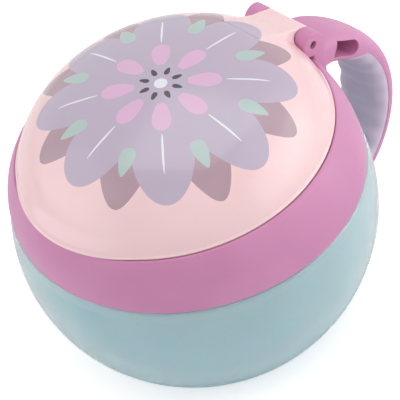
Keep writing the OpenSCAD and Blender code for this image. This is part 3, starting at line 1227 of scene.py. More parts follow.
@dataclass
class Station:
    """A place along the handle, with its section's half width and half thickness.

    Attributes:
        y: The centre's place towards the back.
        z: The centre's height.
        along: Direction of the handle there, as y and z.
        half_w: Half width of the section.
        half_t: Half thickness of the section.
        power: 1 for an elliptic section, and less for a boxier one.
    """

    y: float
    z: float
    along: Vector
    half_w: float
    half_t: float
    power: float

    def point(self, angle: float, inset: float = 0.0) -> Vector:
        """A point of the rounded section.

        Args:
            angle: Angle in degrees round the section; 0 is at +X and 90 on the outer side.
            inset: Distance inside the section's outline.

        Returns:
            The point in the container's space.
        """
        c, s = math.cos(math.radians(angle)), math.sin(math.radians(angle))
        x = (self.half_w - inset) * math.copysign(abs(c) ** self.power, c)
        out = (self.half_t - inset) * math.copysign(abs(s) ** self.power, s)
        return Vector((x, self.y - self.along.y * out, self.z + self.along.x * out))


@dataclass
class Handle:
    """The carrying handle: an orchid core with a ridged rubber grip on its inner side.

    Angles are in degrees about the arc's centre, from level at the back.

    Attributes:
        reach: How far the arc goes back from its centre, and rise how far up.
        drop: Depth of its centre below the collar's lower edge, and inward its distance inside it.
        root_in: How far inside that edge the root starts, at the height root_up above it.
        root_run: Length over which the root bends into the arc.
        round_power: Power of the section where the grip is full, and boxy_power at the top.
        top: Angle at which the root joins the arc, and end where the tip starts.
        lift: Extra height at the top, which grows from the angle lift_from.
        grip_top: Angle at which the grip starts; it is full at grip_full and ends at grip_end.
        cover_angle: How far round the section the grip has drawn in at its top.
        seam: Share by which the grip's edges are set in.
        slot_at: Angle of the strap slot's middle, and slot_angle how far it leans from level.
    """

    plan: Plan
    reach: float = 26.53 * MM
    rise: float = 29.01 * MM
    drop: float = 20.14 * MM
    inward: float = 2.66 * MM
    half_w: float = 9.5 * MM
    half_t: float = 5.0 * MM
    root_half_w: float = 10.2 * MM
    root_in: float = 5.0 * MM
    root_up: float = 10.6 * MM
    root_run: float = 6.5 * MM
    root_flare: float = 0.3 * MM
    flare_end: float = 0.75
    root_sunk: float = 0.3 * MM
    root_steps: int = 20
    round_power: float = 0.8
    boxy_power: float = 0.55
    top: float = 69.0
    end: float = -60.0
    lift_from: float = 45.0
    lift: float = 1.2 * MM
    tip_len: float = 3.0 * MM
    tip_steps: int = 8
    tip_close: float = 0.985
    grip_t: float = 1.8 * MM
    grip_top: float = 66.0
    grip_full: float = 42.0
    grip_end: float = -54.0
    grip_edge: float = 0.3
    grip_fade: float = 1.2
    cover_angle: float = 55.0
    ridges: int = 8
    ridge_depth: float = 0.75 * MM
    hollow_power: float = 0.6
    seam: float = 0.1
    seam_points: float = 1.5
    half_ring: int = 24
    slot_h: float = 5.1 * MM
    slot_l: float = 11.3 * MM
    slot_angle: float = 34.5
    slot_at: float = 64.35
    slot_up: float = 0.5 * MM
    slot_steps: int = 16
    slot_half_w: float = 20.0 * MM

    def centre(self, a: float) -> tuple[float, float]:
        """Centre of the arc at an angle.

        Args:
            a: The angle in degrees from level.

        Returns:
            The place as y and z.
        """
        past = max(0.0, (a - self.lift_from) / (self.top - self.lift_from))
        y = self.plan.collar_low_r - self.inward + self.reach * math.cos(math.radians(a))
        z = self.plan.collar_z - self.drop + self.rise * math.sin(math.radians(a)) + self.lift * past ** 2
        return y, z

    def power(self, a: float) -> float:
        """The section's power at an angle: boxy at the top, rounder where the grip is full."""
        share = min(1.0, max(0.0, (a - self.grip_full) / (self.top - self.grip_full)))
        return self.round_power + (self.boxy_power - self.round_power) * share

    def station(self, a: float, shrink: float = 1.0) -> Station:
        """The arc's station at an angle.

        Args:
            a: The angle in degrees from level.
            shrink: Share of the full section.

        Returns:
            The station.
        """
        before, after = self.centre(a + 0.5), self.centre(a - 0.5)
        along = Vector((after[0] - before[0], after[1] - before[1])).normalized()
        return Station(*self.centre(a), along, self.half_w * shrink, self.half_t * shrink, self.power(a))

    def root(self, u: float) -> Station:
        """A station of the root, which leaves the collar and joins the arc.

        Args:
            u: The share, from 0 in the collar to 1 at the arc.

        Returns:
            The station.
        """
        end = Vector(self.centre(self.top))
        along = self.station(self.top).along
        ends = (Vector((self.plan.collar_low_r - self.root_in, self.plan.collar_z + self.root_up)),
                end - self.root_run * along, end)
        point = ends[0].lerp(ends[1], u).lerp(ends[1].lerp(ends[2], u), u)
        heading = (ends[1].lerp(ends[2], u) - ends[0].lerp(ends[1], u)).normalized()
        flare = self.root_flare * max(0.0, 1 - u / self.flare_end) ** 2
        width = self.root_half_w + (self.half_w - self.root_half_w) * u + flare
        return Station(point.x, point.y, heading, width, self.half_t + flare, self.boxy_power)

    def cover(self, a: float) -> float:
        """Angle by which the grip's edges draw in at an angle of the arc."""
        return self.cover_angle * max(0.0, (a - self.grip_full) / (self.grip_top - self.grip_full))

    def hollow(self, a: float) -> float:
        """Depth of the soft hollows between the grip's ridges."""
        phase = 2 * math.pi * self.ridges * (self.grip_top - a) / (self.grip_top - self.grip_end)
        return self.ridge_depth * (1 - math.cos(phase)) / 2

    def core_ring(self, station: Station, a: float, bed: float) -> Ring:
        """The core's section, set in where the grip lies on it.

        Args:
            station: The place along the handle.
            a: Angle of the arc that the grip's cover is taken from.
            bed: Depth of the grip's bed there.

        Returns:
            The section's points.
        """
        c = self.cover(a)
        n = self.half_ring
        outer = [station.point(-c + (180 + 2 * c) * i / n) for i in range(n + 1)]
        shares = [i / n if bed > 0 else (i + 1) / (n + 2) for i in range(n + 1)]
        inner = [station.point(180 + c + (180 - 2 * c) * f, bed) for f in shares]
        return [*outer, *inner]

    def core(self) -> bmesh.types.BMesh:
        """The whole core, from inside the collar to the rounded tip.

        Returns:
            The core's mesh.
        """
        rings = [self.core_ring(self.root(i / self.root_steps), self.grip_top, 0.0)
                 for i in range(self.root_steps)]
        for a in (self.top, self.top - 1, self.top - 2, self.grip_top + self.grip_edge):
            rings.append(self.core_ring(self.station(a), self.grip_top, 0.0))
        steps = round(self.grip_top - self.grip_end)
        for i in range(steps + 1):
            a = self.grip_top - i
            rings.append(self.core_ring(self.station(a), a, self.grip_t))
        for a in (self.grip_end - self.grip_edge, self.grip_end - 2, self.grip_end - 4, self.end):
            rings.append(self.core_ring(self.station(a), a, 0.0))
        last = self.station(self.end)
        for i in range(1, self.tip_steps + 1):
            f = math.sin(math.pi / 2 * i / self.tip_steps)
            shrink = math.sqrt(1 - self.tip_close * f * f)
            tip = Station(last.y + last.along.x * self.tip_len * f, last.z + last.along.y * self.tip_len * f,
                          last.along, self.half_w * shrink, self.half_t * shrink, self.round_power)
            rings.append(self.core_ring(tip, self.end, 0.0))
        return loft(rings)

    def grip_ring(self, a: float) -> Ring:
        """The grip's section: a shell whose outside dips between the ridges.

        Args:
            a: The angle of the arc in degrees.

        Returns:
            The section's points.
        """
        c = self.cover(a)
        n = self.half_ring
        station = self.station(a)
        angles = [180 + c + (180 - 2 * c) * i / n for i in range(n + 1)]
        ends = min((self.grip_top - a) / self.grip_fade, (a - self.grip_end) / self.grip_fade, 1.0)
        dip = self.hollow(a) / self.grip_t
        inner = [station.point(p, self.grip_t) for p in angles]
        outer = []
        for i, angle in enumerate(angles):
            side = max(0.0, 1 - min(i, n - i) / self.seam_points)
            edge = self.seam * (side ** 2 + (1 - ends) ** 2)
            share = 1 - dip * math.sin(math.pi * i / n) ** self.hollow_power - edge
            outer.append(inner[i].lerp(station.point(angle), share))
        return [*outer, *reversed(inner)]

    def grip(self) -> bmesh.types.BMesh:
        """The whole grip."""
        steps = 2 * round(self.grip_top - self.grip_end)
        return loft([self.grip_ring(self.grip_top - i / 2) for i in range(steps + 1)])

    def slot(self) -> bmesh.types.BMesh:
        """The strap slot's tool: square at one end and round at the other.

        Returns:
            The tool's mesh, in its place.
        """
        half, far = self.slot_h / 2, self.slot_half_w
        y, z = self.centre(self.slot_at)
        outline = [Vector((-far, -self.slot_l / 2, half)), Vector((-far, -self.slot_l / 2, -half))]
        for i in range(self.slot_steps + 1):
            a = math.pi * (i / self.slot_steps - 0.5)
            reach = self.slot_l / 2 - half + half * math.cos(a)
            outline.append(Vector((-far, reach, half * math.sin(a))))
        tool = plate(outline, Vector((2 * far, 0, 0)))
        tilt = Matrix.Rotation(math.radians(-self.slot_angle), 4, "X")
        turn = Matrix.Translation((0, y, z + self.slot_up)) @ tilt
        bmesh.ops.transform(tool, matrix=turn, verts=tool.verts)
        return tool

    def build(self, finishes: Finishes, collar: Collar) -> None:
        """Makes and seats the core and the grip.

        Args:
            finishes: The container's finishes.
            collar: The collar that the root leaves.
        """
        core = make("handle_core", self.core(), 50.0)
        carve(core, collar.blank(self.root_sunk))
        carve(core, self.slot(), crisp=40.0)
        dress(core, finishes.orchid)
        seat(core, "collar", "handle")
        grip = make("handle_grip_rubber", self.grip(), 50.0)
        dress(grip, finishes.grip)
        seat(grip, "collar", "handle_grip")


# Heights above the rim, in millimetres, of the rings over the edge's bead and the finger lip
EDGE_HEIGHTS = (0.1, 0.12, 0.17, 0.24, 0.32, *(0.4 + 0.1 * i for i in range(7)), 1.3, 1.7,
                *(2.1 + 0.5 * i for i in range(7)), 5.5)


@dataclass
class Lid:
    """The domed flip lid: shell, finger lip, hinge arm with its barrel, and the liner below.

    Attributes:
        height: Height of the dome above the rim, which it leaves at edge_angle.
        shoulder: Radius of the arc above the edge; the crown's radius follows from it.
        lip_reach: How far the finger lip stands out, over lip_half_w to each side.
        lip_face: Height up to which the lip has its full reach, which is gone at lip_fade.
        bead_reach: How far the edge's bead stands out all round, but for bead_end by the hinge.
        pocket_gap: Clearance round the ears in the lid's two pockets.
        arm_root: Distance ahead of the pin at which the arm leaves the dome, at arm_rise above it.
        fillet: Size of the rounding between arm and dome.
        flow_under: How far the patch lies under the dome, and flow_over how far over the arm.
        cliff: Slope of the patch beside the arm, past the share cliff_at of the arm's rounding.
        liner_rise: Height of the liner's underside above the deck.
        plug_bead: How far the plug's bead stands out, at plug_bead_z above the plug's lower edge.
        plug_soft: Rounding of the plug's edges, as the other sizes in _soft are of their edges.
    """

    plan: Plan
    height: float = 22.5 * MM
    edge_angle: float = 75.0
    shoulder: float = 27.3 * MM
    wall: float = 2.0 * MM
    seat_gap: float = 0.3 * MM
    edge_soft: float = 0.3 * MM
    under_rim: float = 0.2 * MM
    shoulder_steps: int = 15
    crown_steps: int = 12
    crown_end: float = 0.004
    lip_reach: float = 1.6 * MM
    lip_half_w: float = 25.0 * MM
    lip_low: float = 0.1 * MM
    lip_round: float = 0.22 * MM
    lip_face: float = 1.3 * MM
    lip_fade: float = 5.5 * MM
    bead_reach: float = 0.34 * MM
    bead_face: float = 0.4 * MM
    bead_fade: float = 1.0 * MM
    bead_end: float = 14.0 * MM
    pocket_gap: float = 0.45 * MM
    pocket_wall: float = 1.5 * MM
    arm_root: float = 8.5 * MM
    arm_rise: float = 7.4 * MM
    arm_soft: float = 0.8 * MM
    arm_heel: float = 1.0 * MM
    nose_steps: int = 36
    flow_half_x: float = 11.0 * MM
    flow_front: float = 30.0 * MM
    flow_back: float = 44.5 * MM
    flow_depth: float = 1.2 * MM
    flow_under: float = 0.02 * MM
    flow_over: float = 0.01 * MM
    cliff: float = 3.0
    cliff_at: float = 0.949
    fillet: float = 3.2 * MM
    bore_r: float = 1.35 * MM
    liner_rise: float = 3.4 * MM
    liner_t: float = 1.5 * MM
    liner_gap: float = 0.1 * MM
    plug_gap: float = 0.2 * MM
    plug_depth: float = 1.5 * MM
    plug_bead: float = 0.1 * MM
    plug_bead_z: float = 0.7 * MM
    plug_bead_half: float = 0.2 * MM
    plug_soft: float = 0.5 * MM
    cup_soft: float = 1.2 * MM
    crown_soft: float = 0.4 * MM
    under_soft: float = 0.2 * MM
    flange_soft: float = 0.3 * MM
    segments: int = 240

    def __post_init__(self) -> None:
        """Works out the dome's two arcs."""
        edge = math.radians(self.edge_angle)
        self.cx = self.plan.lid_rx - self.shoulder * math.sin(edge)
        self.cz = -self.shoulder * math.cos(edge)
        rise = self.height - self.cz
        self.crown = (self.cx ** 2 + rise ** 2 - self.shoulder ** 2) / (2 * (rise - self.shoulder))
        self.join = math.asin(self.cx / (self.crown - self.shoulder))
        self.low = self.plan.deck_z + self.seat_gap

    def dome(self, slope: float, inset: float = 0.0) -> tuple[float, float]:
        """A point of the dome's arcs.

        Args:
            slope: The dome's slope there, in radians.
            inset: Distance inside the outer face.

        Returns:
            Radius and height.
        """
        if slope > self.join:
            reach = self.shoulder - inset
            return self.cx + reach * math.sin(slope), self.plan.rim_z + self.cz + reach * math.cos(slope)
        reach = self.crown - inset
        return reach * math.sin(slope), self.plan.rim_z + self.height - self.crown + reach * math.cos(slope)

    def dome_z(self, x: float, y: float) -> float:
        """Height of the dome's outside over a place.

        Args:
            x: The place's distance to the right of the middle plane.
            y: Its distance towards the back.

        Returns:
            The height.
        """
        p = self.plan
        r = min(math.hypot(x, (y - p.lid_y) * p.lid_rx / p.lid_ry), p.lid_rx)
        bend = self.cx + self.shoulder * math.sin(self.join)
        if r > bend:
            return p.rim_z + self.cz + math.sqrt(self.shoulder ** 2 - (r - self.cx) ** 2)
        return p.rim_z + self.height - self.crown + math.sqrt(self.crown ** 2 - r ** 2)

    def edge_share(self, h: float, face: float, fade: float) -> float:
        """How much of an edge's reach a height above the rim has.

        Args:
            h: The height above the rim.
            face: Height up to which the reach is full.
            fade: Height at which it has died away.

        Returns:
            The share, from 0 to 1.
        """
        if h <= self.lip_low:
            return 0.0
        under = min(1.0, (h - self.lip_low) / self.lip_round)
        past = min(1.0, max(0.0, (h - face) / (fade - face)))
        return math.sqrt(1 - (1 - under) ** 2) * (1 - past * past * (3 - 2 * past))

    def ring(self, r: float, z: float, h: float = 0.0) -> Ring:
        """A ring on the lid's oval, drawn out by the edge's bead and by the finger lip.

        Args:
            r: The oval's half width.
            z: The ring's height.
            h: Height above the rim that the bead and the lip are taken at, or 0 for none.

        Returns:
            The ring.
        """
        p = self.plan
        lip = self.lip_reach * self.edge_share(h, self.lip_face, self.lip_fade)
        bead = self.bead_reach * self.edge_share(h, self.bead_face, self.bead_fade)
        points = []
        for i in range(self.segments):
            a = 2 * math.pi * i / self.segments
            c, s = math.cos(a), math.sin(a)
            clear = 1.0 if s < 0 else min(1.0, max(0.0, abs(r * c) / self.bead_end - 1.0) * 4)
            out = r + bead * clear
            flare = lip * max(0.0, 1 - (r * c / self.lip_half_w) ** 2) if s < 0 else 0.0
            length = out + r * (p.lid_ry / p.lid_rx - 1)
            points.append(Vector((out * c, length * s + p.lid_y - flare, z)))
        return points

    def outside(self) -> bmesh.types.BMesh:
        """The lid's outside as one solid, with close rings over the bead and the finger lip.

        Returns:
            The solid.
        """
        p = self.plan
        soft, turn = self.edge_soft, 0.3 * self.edge_soft
        rings = [self.ring(p.lid_rx - soft, self.low), self.ring(p.lid_rx - turn, self.low + turn),
                 self.ring(p.lid_rx, self.low + soft), self.ring(p.lid_rx, p.rim_z - self.under_rim)]
        for h in EDGE_HEIGHTS:
            slope = math.acos((h * MM - self.cz) / self.shoulder)
            rings.append(self.ring(*self.dome(slope), h * MM))
        start = math.acos((self.lip_fade - self.cz) / self.shoulder)
        for i in range(1, self.shoulder_steps):
            rings.append(self.ring(*self.dome(start + (self.join - start) * i / self.shoulder_steps)))
        return loft(rings + self.crown_rings(self.crown_steps))

    def crown_rings(self, steps: int, inset: float = 0.0) -> list[Ring]:
        """The rings of the dome's crown, from where it meets the shoulder up to its middle.

        Args:
            steps: How many rings it has before the last, smallest one.
            inset: Distance inside the outer face.

        Returns:
            The rings, upwards.
        """
        shares = [*[1 - i / steps for i in range(steps)], self.crown_end]
        return [self.ring(*self.dome(self.join * share, inset)) for share in shares]

    def cavity(self) -> bpy.types.Object:
        """The space inside the dome, less the solid corner at the hinge.

        Returns:
            The space as an object, which is used up when it is cut.
        """
        p = self.plan
        rim = p.lid_rx - self.wall
        rings = [self.ring(rim, self.low - OVER), self.ring(rim, p.rim_z)]
        start = math.radians(self.edge_angle) - 0.04
        steps = self.crown_steps
        for i in range(steps):
            slope = start + (self.join - start) * i / steps
            rings.append(self.ring(*self.dome(slope, self.wall)))
        space = make("cavity", loft(rings + self.crown_rings(steps // 2, self.wall)))
        above = self.low + self.liner_t + self.liner_gap
        around = self.pocket_gap + self.pocket_wall
        corner = make("corner", rod(p.pin, p.ear_r + around, p.ear_out + around, 96))
        carve(corner, self.arm(0.0), Cut.JOIN)
        square = [Vector((x * FAR, y * FAR, above)) for x, y in ((-1, -1), (1, -1), (1, 1), (-1, 1))]
        carve(corner, plate(square, Vector((0, 0, -FAR))))
        self.use(space, corner, Cut.TAKE)
        return space

    @staticmethod
    def use(obj: bpy.types.Object, other: bpy.types.Object, cut: Cut) -> None:
        """Applies another object to a piece, and uses it up.

        Args:
            obj: The piece to change.
            other: The object that is taken away or joined.
            cut: Which of the two it is.
        """
        tool = bmesh.new()
        tool.from_mesh(other.data)
        spare = other.data
        bpy.data.objects.remove(other)
        bpy.data.meshes.remove(spare)
        carve(obj, tool, cut)

    def arm_line(self) -> tuple[Vector, Vector]:
        """The arm's straight top in side view.

        Returns:
            Where it leaves the dome and where it meets the barrel, as y and z.
        """
        pin = self.plan.pin
        start = Vector((pin.y - self.arm_root, pin.z + self.arm_rise))
        to_pin = Vector((pin.y, pin.z)) - start
        turn = math.atan2(to_pin.y, to_pin.x) + math.asin(self.plan.ear_r / to_pin.length)
        run = math.sqrt(to_pin.length ** 2 - self.plan.ear_r ** 2)
        return start, start + run * Vector((math.cos(turn), math.sin(turn)))

    def arm(self, soft: float) -> bmesh.types.BMesh:
        """The arm and its barrel in one plate.

        Args:
            soft: Width of the rounding along its two sides.

        Returns:
            The plate's mesh.
        """
        pin, r = self.plan.pin, self.plan.ear_r
        start, touch = self.arm_line()
        half = self.plan.barrel_w / 2
        first = math.atan2(touch.y - pin.z, touch.x - pin.y)
        last = -math.pi / 2
        curve = [first + (last - first) * i / self.nose_steps for i in range(self.nose_steps + 1)]
        heel = pin.y - self.arm_heel
        side = [(start.x, start.y), *[(pin.y + r * math.cos(a), pin.z + r * math.sin(a)) for a in curve],
                (heel, pin.z - r), (heel, self.low), (start.x, self.low)]
        return plate([Vector((-half, y, z)) for y, z in side], Vector((2 * half, 0, 0)), soft, 4)

    def flow_z(self, x: float, y: float) -> float:
        """Height of the surface where the arm flows out of the dome.

        Args:
            x: The place's distance to the right of the middle plane.
            y: Its distance towards the back.

        Returns:
            The height.
        """
        start, touch = self.arm_line()
        line = start.y + (touch.y - start.y) * (y - start.x) / (touch.x - start.x)
        side = abs(x) - (self.plan.barrel_w / 2 - self.arm_soft)
        steepest = self.cliff_at * self.arm_soft
        arc = min(max(0.0, side), steepest)
        past = max(0.0, side - steepest)
        fall = self.arm_soft - math.sqrt(self.arm_soft ** 2 - arc ** 2) + self.cliff * past
        dome, arm = self.dome_z(x, y) - self.flow_under, line - fall + self.flow_over
        near = max(self.fillet - abs(dome - arm), 0.0) / self.fillet
        return max(dome, arm) + near * near * self.fillet / 4

    def flow(self) -> bmesh.types.BMesh:
        """The patch over the dome's back from which the arm grows.

        Returns:
            The patch's closed mesh.
        """
        front, back = self.flow_front, self.flow_back
        bm = bmesh.new()
        scale = Matrix.Diagonal((self.flow_half_x, (back - front) / 2, 1, 1))
        bmesh.ops.create_grid(bm, x_segments=88, y_segments=44, size=1.0,
                              matrix=Matrix.Translation((0, (front + back) / 2, 0)) @ scale)
        top = list(bm.verts)
        grown = bmesh.ops.extrude_face_region(bm, geom=list(bm.faces))["geom"]
        low = [g for g in grown if isinstance(g, bmesh.types.BMVert)]
        for vert in top:
            vert.co.z = self.flow_z(vert.co.x, vert.co.y)
        for vert in low:
            vert.co.z = self.dome_z(vert.co.x, vert.co.y) - self.flow_depth
        bmesh.ops.recalc_face_normals(bm, faces=bm.faces)
        return bm

    def shell(self) -> bpy.types.Object:
        """The whole lid shell.

        Returns:
            The finished shell.
        """
        p = self.plan
        lid = make("lid_dome", self.outside())
        carve(lid, self.flow(), Cut.JOIN)
        carve(lid, self.arm(self.arm_soft), Cut.JOIN)
        self.use(lid, self.cavity(), Cut.TAKE)
        inner, outer = p.barrel_w / 2, p.ear_out + self.pocket_gap
        for side in Side:
            spot = Vector((side.value * (inner + outer) / 2, p.pin.y, p.pin.z))
            carve(lid, rod(spot, p.ear_r + self.pocket_gap, (outer - inner) / 2, 96))
        carve(lid, rod(p.pin, self.bore_r, p.barrel_w, 40), crisp=30.0)
        return lid

    def liner(self) -> bmesh.types.BMesh:
        """The liner: a plate with a plug ring below and a flange round it.

        Returns:
            The liner's mesh.
        """
        p = self.plan
        plug = p.mouth_r - self.plug_gap
        inner, base = plug - self.liner_t, p.deck_z - self.plug_depth
        floor = p.deck_z + self.liner_rise
        edge, high = p.lid_rx - self.wall - self.liner_gap, self.low + self.liner_t
        bead_z, bead_half = base + self.plug_bead_z, self.plug_bead_half
        cup = [Corner(AXIS_R, floor), Corner(inner, floor, soft=self.cup_soft),
               Corner(inner, base, soft=self.plug_soft)]
        ring = [Corner(plug, base, soft=self.plug_soft), Corner(plug, bead_z - bead_half),
                Corner(plug + self.plug_bead, bead_z), Corner(plug, bead_z + bead_half)]
        flange = [Corner(plug, self.low, soft=self.under_soft), Corner(edge, self.low, 1, self.flange_soft),
                  Corner(edge, high, 1, self.flange_soft), Corner(plug, high, soft=self.plug_soft)]
        top = [Corner(plug, floor + self.liner_t, soft=self.crown_soft), Corner(AXIS_R, floor + self.liner_t)]
        return turned(p, [*cup, *ring, *flange, *top], closed=False)

    def build(self, finishes: Finishes) -> None:
        """Makes and seats the shell and the liner.

        Args:
            finishes: The container's finishes.
        """
        lid = self.shell()
        dress(lid, finishes.lid)
        seat(lid, "lid", "lid_shell")
        liner = make("lid_liner_plate", self.liner())
        dress(liner, finishes.liner)
        seat(liner, "lid", "lid_liner")


@dataclass
class Softs:
    """The milk-white silicone pieces: the neck's seal, the flap ring and its flaps.

    Attributes:
        apothem: Distance of the ring hole's straight sides from the axis.
        count: How many flaps there are.
        root_r: Distance of the flaps' roots from the axis, and tip_r of their tips.
        gap: Distance of a flap's side from the line midway to its neighbour.
        notch: Length over which a flap's side turns in at the root.
        sink: Angle in degrees at which the flaps sink to the middle.
    """

    plan: Plan
    seal_gap: float = 0.2 * MM
    seal_soft: float = 0.35 * MM
    soft: float = 0.3 * MM
    ring_r: float = 41.02 * MM
    apothem: float = 33.52 * MM
    ring_t: float = 2.2 * MM
    count: int = 6
    root_r: float = 33.22 * MM
    tip_r: float = 2.5 * MM
    gap: float = 0.3 * MM
    flap_t: float = 1.2 * MM
    flap_drop: float = 0.4 * MM
    notch: float = 3.0 * MM
    sink: float = 6.0
    segments: int = 180

    def seal(self) -> bmesh.types.BMesh:
        """The seal between the neck and the collar's deck.

        Returns:
            The seal's mesh.
        """
        p = self.plan
        inner, outer = p.neck_r - p.neck_wall + self.seal_gap, p.neck_r - self.seal_gap
        soft = self.seal_soft
        return turned(p, [Corner(inner, p.neck_top, 0, soft), Corner(outer, p.neck_top, 0, soft),
                          Corner(outer, p.deck_under, 0, soft), Corner(inner, p.deck_under, 0, soft)])

    def hole(self, angle: float) -> float:
        """Distance of the ring's six-sided hole from the axis.

        Args:
            angle: Angle round the axis in radians.

        Returns:
            The distance.
        """
        side = math.pi / self.count
        off = (angle + side) % (2 * side) - side
        return self.apothem / math.cos(off)

    def flap_ring(self) -> bmesh.types.BMesh:
        """The ring that holds the flaps, with softened edges.

        Returns:
            The ring's mesh.
        """
        top, soft = self.plan.deck_under, self.soft
        low = top - self.ring_t
        edges = [(0.0, soft, low), (0.0, 0.0, low + soft), (0.0, 0.0, top - soft), (0.0, soft, top),
                 (1.0, soft, top), (1.0, 0.0, top - soft), (1.0, 0.0, low + soft), (1.0, soft, low)]
        rings = []
        for inward, cut, z in edges:
            ring = []
            for i in range(self.segments):
                a = 2 * math.pi * i / self.segments
                r = self.hole(a) + cut if inward else self.ring_r - cut
                ring.append(Vector((r * math.cos(a), r * math.sin(a), z)))
            rings.append(ring)
        return loft(rings, closed=True)

    def half_width(self, r: float) -> float:
        """Half width of a flap at a distance from the axis, clear of its neighbours."""
        side = math.pi / self.count
        return r * math.tan(side) - self.gap / math.cos(side)

    def flap(self, index: int) -> bmesh.types.BMesh:
        """One flap, in its place.

        Args:
            index: Which flap it is, from 0.

        Returns:
            The flap's mesh.
        """
        cut = self.flap_t * math.tan(math.pi / self.count)
        half = [(self.root_r, self.half_width(self.root_r) - cut),
                (self.root_r - self.notch, self.half_width(self.root_r - self.notch)),
                (self.tip_r, self.half_width(self.tip_r))]
        outline = [*[Vector((r, -w, 0)) for r, w in half],
                   *[Vector((r, w, 0)) for r, w in reversed(half)]]
        leaf = plate(outline, Vector((0, 0, self.flap_t)), self.soft)
        low = self.plan.deck_under - self.flap_drop - self.flap_t
        tilt = (Matrix.Rotation(2 * math.pi * index / self.count, 4, "Z")
                @ Matrix.Translation((self.root_r, 0, low))
                @ Matrix.Rotation(math.radians(-self.sink), 4, "Y")
                @ Matrix.Translation((-self.root_r, 0, 0)))
        bmesh.ops.transform(leaf, matrix=tilt, verts=leaf.verts)
        return leaf

    def build(self, finishes: Finishes) -> None:
        """Makes and seats all the soft pieces.

        Args:
            finishes: The container's finishes.
        """
        pieces = [("neck_seal", self.seal(), "gasket", "bowl_gasket", "gasket_silicone"),
                  ("mouth_ring", self.flap_ring(), "collar", "flap_ring", "flap_silicone")]
        for i in range(self.count):
            name = f"flap_{i + 1}"
            pieces.append((f"mouth_{name}", self.flap(i), name, name, "flap_silicone"))
        for name, bm, body, node, slot in pieces:
            piece = make(name, bm)
            dress(piece, finishes.milk)
            seat(piece, body, node)


@dataclass(frozen=True)
class Lamp:
    """A square soft lamp that faces the container.

    Attributes:
        name: The lamp's name.
        azimuth: Angle in degrees from the front, to the right.
        elevation: Angle in degrees above the floor.
        away: Distance from the container.
        size: Length of the lamp's side.
        watts: Its power.
    """

    name: str
    azimuth: float
    elevation: float
    away: float
    size: float
    watts: float


LAMPS: tuple[Lamp, ...] = (
    Lamp("left_soft", -40.0, 32.0, 0.9, 0.9, 1.4),
    Lamp("right_soft", 146.0, 32.0, 0.9, 0.9, 1.5),
    Lamp("top_soft", 200.0, 75.0, 0.9, 0.7, 1.9),
    Lamp("front_soft", 54.0, 36.0, 1.2, 1.0, 0.9),
    Lamp("low_right", 130.0, 3.0, 0.8, 0.9, 2.9),
    Lamp("low_left", -24.0, 3.0, 0.8, 0.9, 1.3),
)


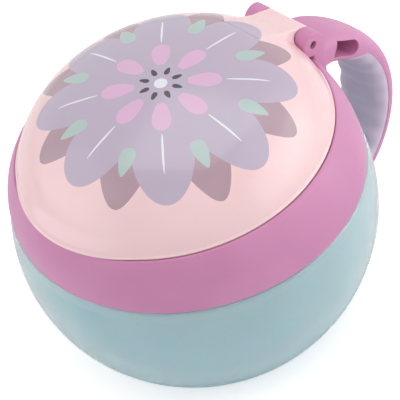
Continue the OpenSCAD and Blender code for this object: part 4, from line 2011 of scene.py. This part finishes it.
@dataclass
class Studio:
    """A pale floor, soft lamps all round and the camera.

    Attributes:
        floor_half: Half the length of the floor.
        floor_shade: How pale the floor is to the light that falls on the container.
        floor_seen: The colour on which the camera sees the shadow, with floor_glow added.
        floor_in_gloss: Share of that look which the container's gloss mirrors.
        room_light: Strength of the room's even light.
        target_z: Height of the point that the camera and the lamps face.
        distance: The camera's distance, with azimuth, elevation and its small turns in degrees.
        lens: Its focal length in millimetres.
    """

    floor_half: float = 3.0
    floor_shade: float = 0.92
    floor_seen: Colour = (1.0, 0.9, 0.88)
    floor_glow: float = 0.53
    floor_in_gloss: float = 0.25
    room_light: float = 0.48
    target_z: float = 52.0 * MM
    distance: float = 581.3 * MM
    azimuth: float = 54.0
    elevation: float = 45.03
    roll: float = -13.58
    yaw: float = 0.19
    pitch: float = -0.81
    lens: float = 180.0

    def floor(self) -> None:
        """Lays the floor and makes it show white, with the shadow kept."""
        bm = bmesh.new()
        bmesh.ops.create_grid(bm, x_segments=1, y_segments=1, size=self.floor_half)
        floor = make("floor", bm)
        n = Nodes("pale_floor")
        n.set(Base_Color=(self.floor_shade,) * 3, Roughness=0.9, Specular_IOR_Level=0.1)
        path = n.add("ShaderNodeLightPath")
        in_gloss = n.math("MULTIPLY", path.outputs["Is Glossy Ray"], self.floor_in_gloss)
        seen = n.math("MAXIMUM", in_gloss, path.outputs["Is Transmission Ray"])
        seen = n.math("MAXIMUM", path.outputs["Is Camera Ray"], seen)
        matte = n.add("ShaderNodeBsdfDiffuse")
        matte.inputs[0].default_value = (*self.floor_seen, 1.0)
        glow = n.add("ShaderNodeEmission")
        glow.inputs[0].default_value = (1.0, 1.0, 1.0, 1.0)
        glow.inputs[1].default_value = self.floor_glow
        both = n.add("ShaderNodeAddShader")
        n.link(matte.outputs[0], both.inputs[0])
        n.link(glow.outputs[0], both.inputs[1])
        pick = n.add("ShaderNodeMixShader")
        n.link(seen, pick.inputs[0])
        n.link(n.shader.outputs[0], pick.inputs[1])
        n.link(both.outputs[0], pick.inputs[2])
        n.link(pick.outputs[0], n.tree.nodes["Material Output"].inputs[0])
        dress(floor, n.material)

    def world(self) -> None:
        """Fills the room with an even pale light and shows white behind the floor."""
        world = bpy.data.worlds.new("pale_room")
        world.use_nodes = True
        tree = world.node_tree
        back = tree.nodes["Background"]
        path = tree.nodes.new("ShaderNodeLightPath")
        level = tree.nodes.new("ShaderNodeMapRange")
        seen = path.outputs["Is Camera Ray"]
        for kind in ("Is Glossy Ray", "Is Transmission Ray"):
            either = tree.nodes.new("ShaderNodeMath")
            either.operation = "MAXIMUM"
            tree.links.new(seen, either.inputs[0])
            tree.links.new(path.outputs[kind], either.inputs[1])
            seen = either.outputs[0]
        tree.links.new(seen, level.inputs[0])
        level.inputs[3].default_value = self.room_light
        level.inputs[4].default_value = 1.0
        tree.links.new(level.outputs[0], back.inputs[1])
        back.inputs[0].default_value = (1.0, 1.0, 1.0, 1.0)
        bpy.context.scene.world = world

    def hang(self, lamp: Lamp) -> None:
        """Hangs one lamp and points it at the container.

        Args:
            lamp: The lamp.
        """
        way = self.direction(lamp.azimuth, lamp.elevation)
        light = bpy.data.lights.new(lamp.name, "AREA")
        light.size = lamp.size
        light.energy = lamp.watts
        obj = bpy.data.objects.new(lamp.name, light)
        obj.matrix_world = (Matrix.Translation(Vector((0, 0, self.target_z)) + lamp.away * way)
                            @ way.to_track_quat("Z", "Y").to_matrix().to_4x4())
        bpy.context.scene.collection.objects.link(obj)

    @staticmethod
    def direction(azimuth: float, elevation: float) -> Vector:
        """The direction from the container to what stands at two angles.

        Args:
            azimuth: Angle in degrees from the front, to the right.
            elevation: Angle in degrees above the floor.

        Returns:
            The direction, of length 1.
        """
        a, e = math.radians(azimuth), math.radians(elevation)
        return Vector((math.sin(a) * math.cos(e), -math.cos(a) * math.cos(e), math.sin(e)))

    def camera(self) -> None:
        """Sets up the camera."""
        back = self.direction(self.azimuth, self.elevation)
        a = math.radians(self.azimuth)
        right = Vector((math.cos(a), math.sin(a), 0))
        base = Matrix((right, back.cross(right), back)).transposed()
        turn = (Matrix.Rotation(math.radians(-self.yaw), 3, "Y")
                @ Matrix.Rotation(math.radians(self.pitch), 3, "X")
                @ Matrix.Rotation(math.radians(self.roll), 3, "Z"))
        view = bpy.data.cameras.new("view")
        view.lens = self.lens
        view.sensor_width = 36.0
        obj = bpy.data.objects.new("view", view)
        obj.matrix_world = (Matrix.Translation(Vector((0, 0, self.target_z)) + self.distance * back)
                            @ (base @ turn).to_4x4())
        bpy.context.scene.collection.objects.link(obj)
        bpy.context.scene.camera = obj

    def build(self) -> None:
        """Sets up the floor, the lamps and the camera."""
        bpy.context.scene.view_settings.view_transform = "Standard"
        self.floor()
        self.world()
        for lamp in LAMPS:
            self.hang(lamp)
        self.camera()


def main() -> None:
    """Builds the container and its studio."""
    logging.basicConfig(level=logging.INFO, format="%(name)s: %(message)s")
    plan = Plan()
    Studio().build()
    finishes = Finishes(plan)
    collar = Collar(plan)
    Bowl(plan).build(finishes)
    collar.build(finishes)
    Handle(plan).build(finishes, collar)
    Lid(plan).build(finishes)
    Softs(plan).build(finishes)
    dress(bpy.data.objects["hinge_pin"], finishes.steel)


if __name__ == "__main__":
    main()
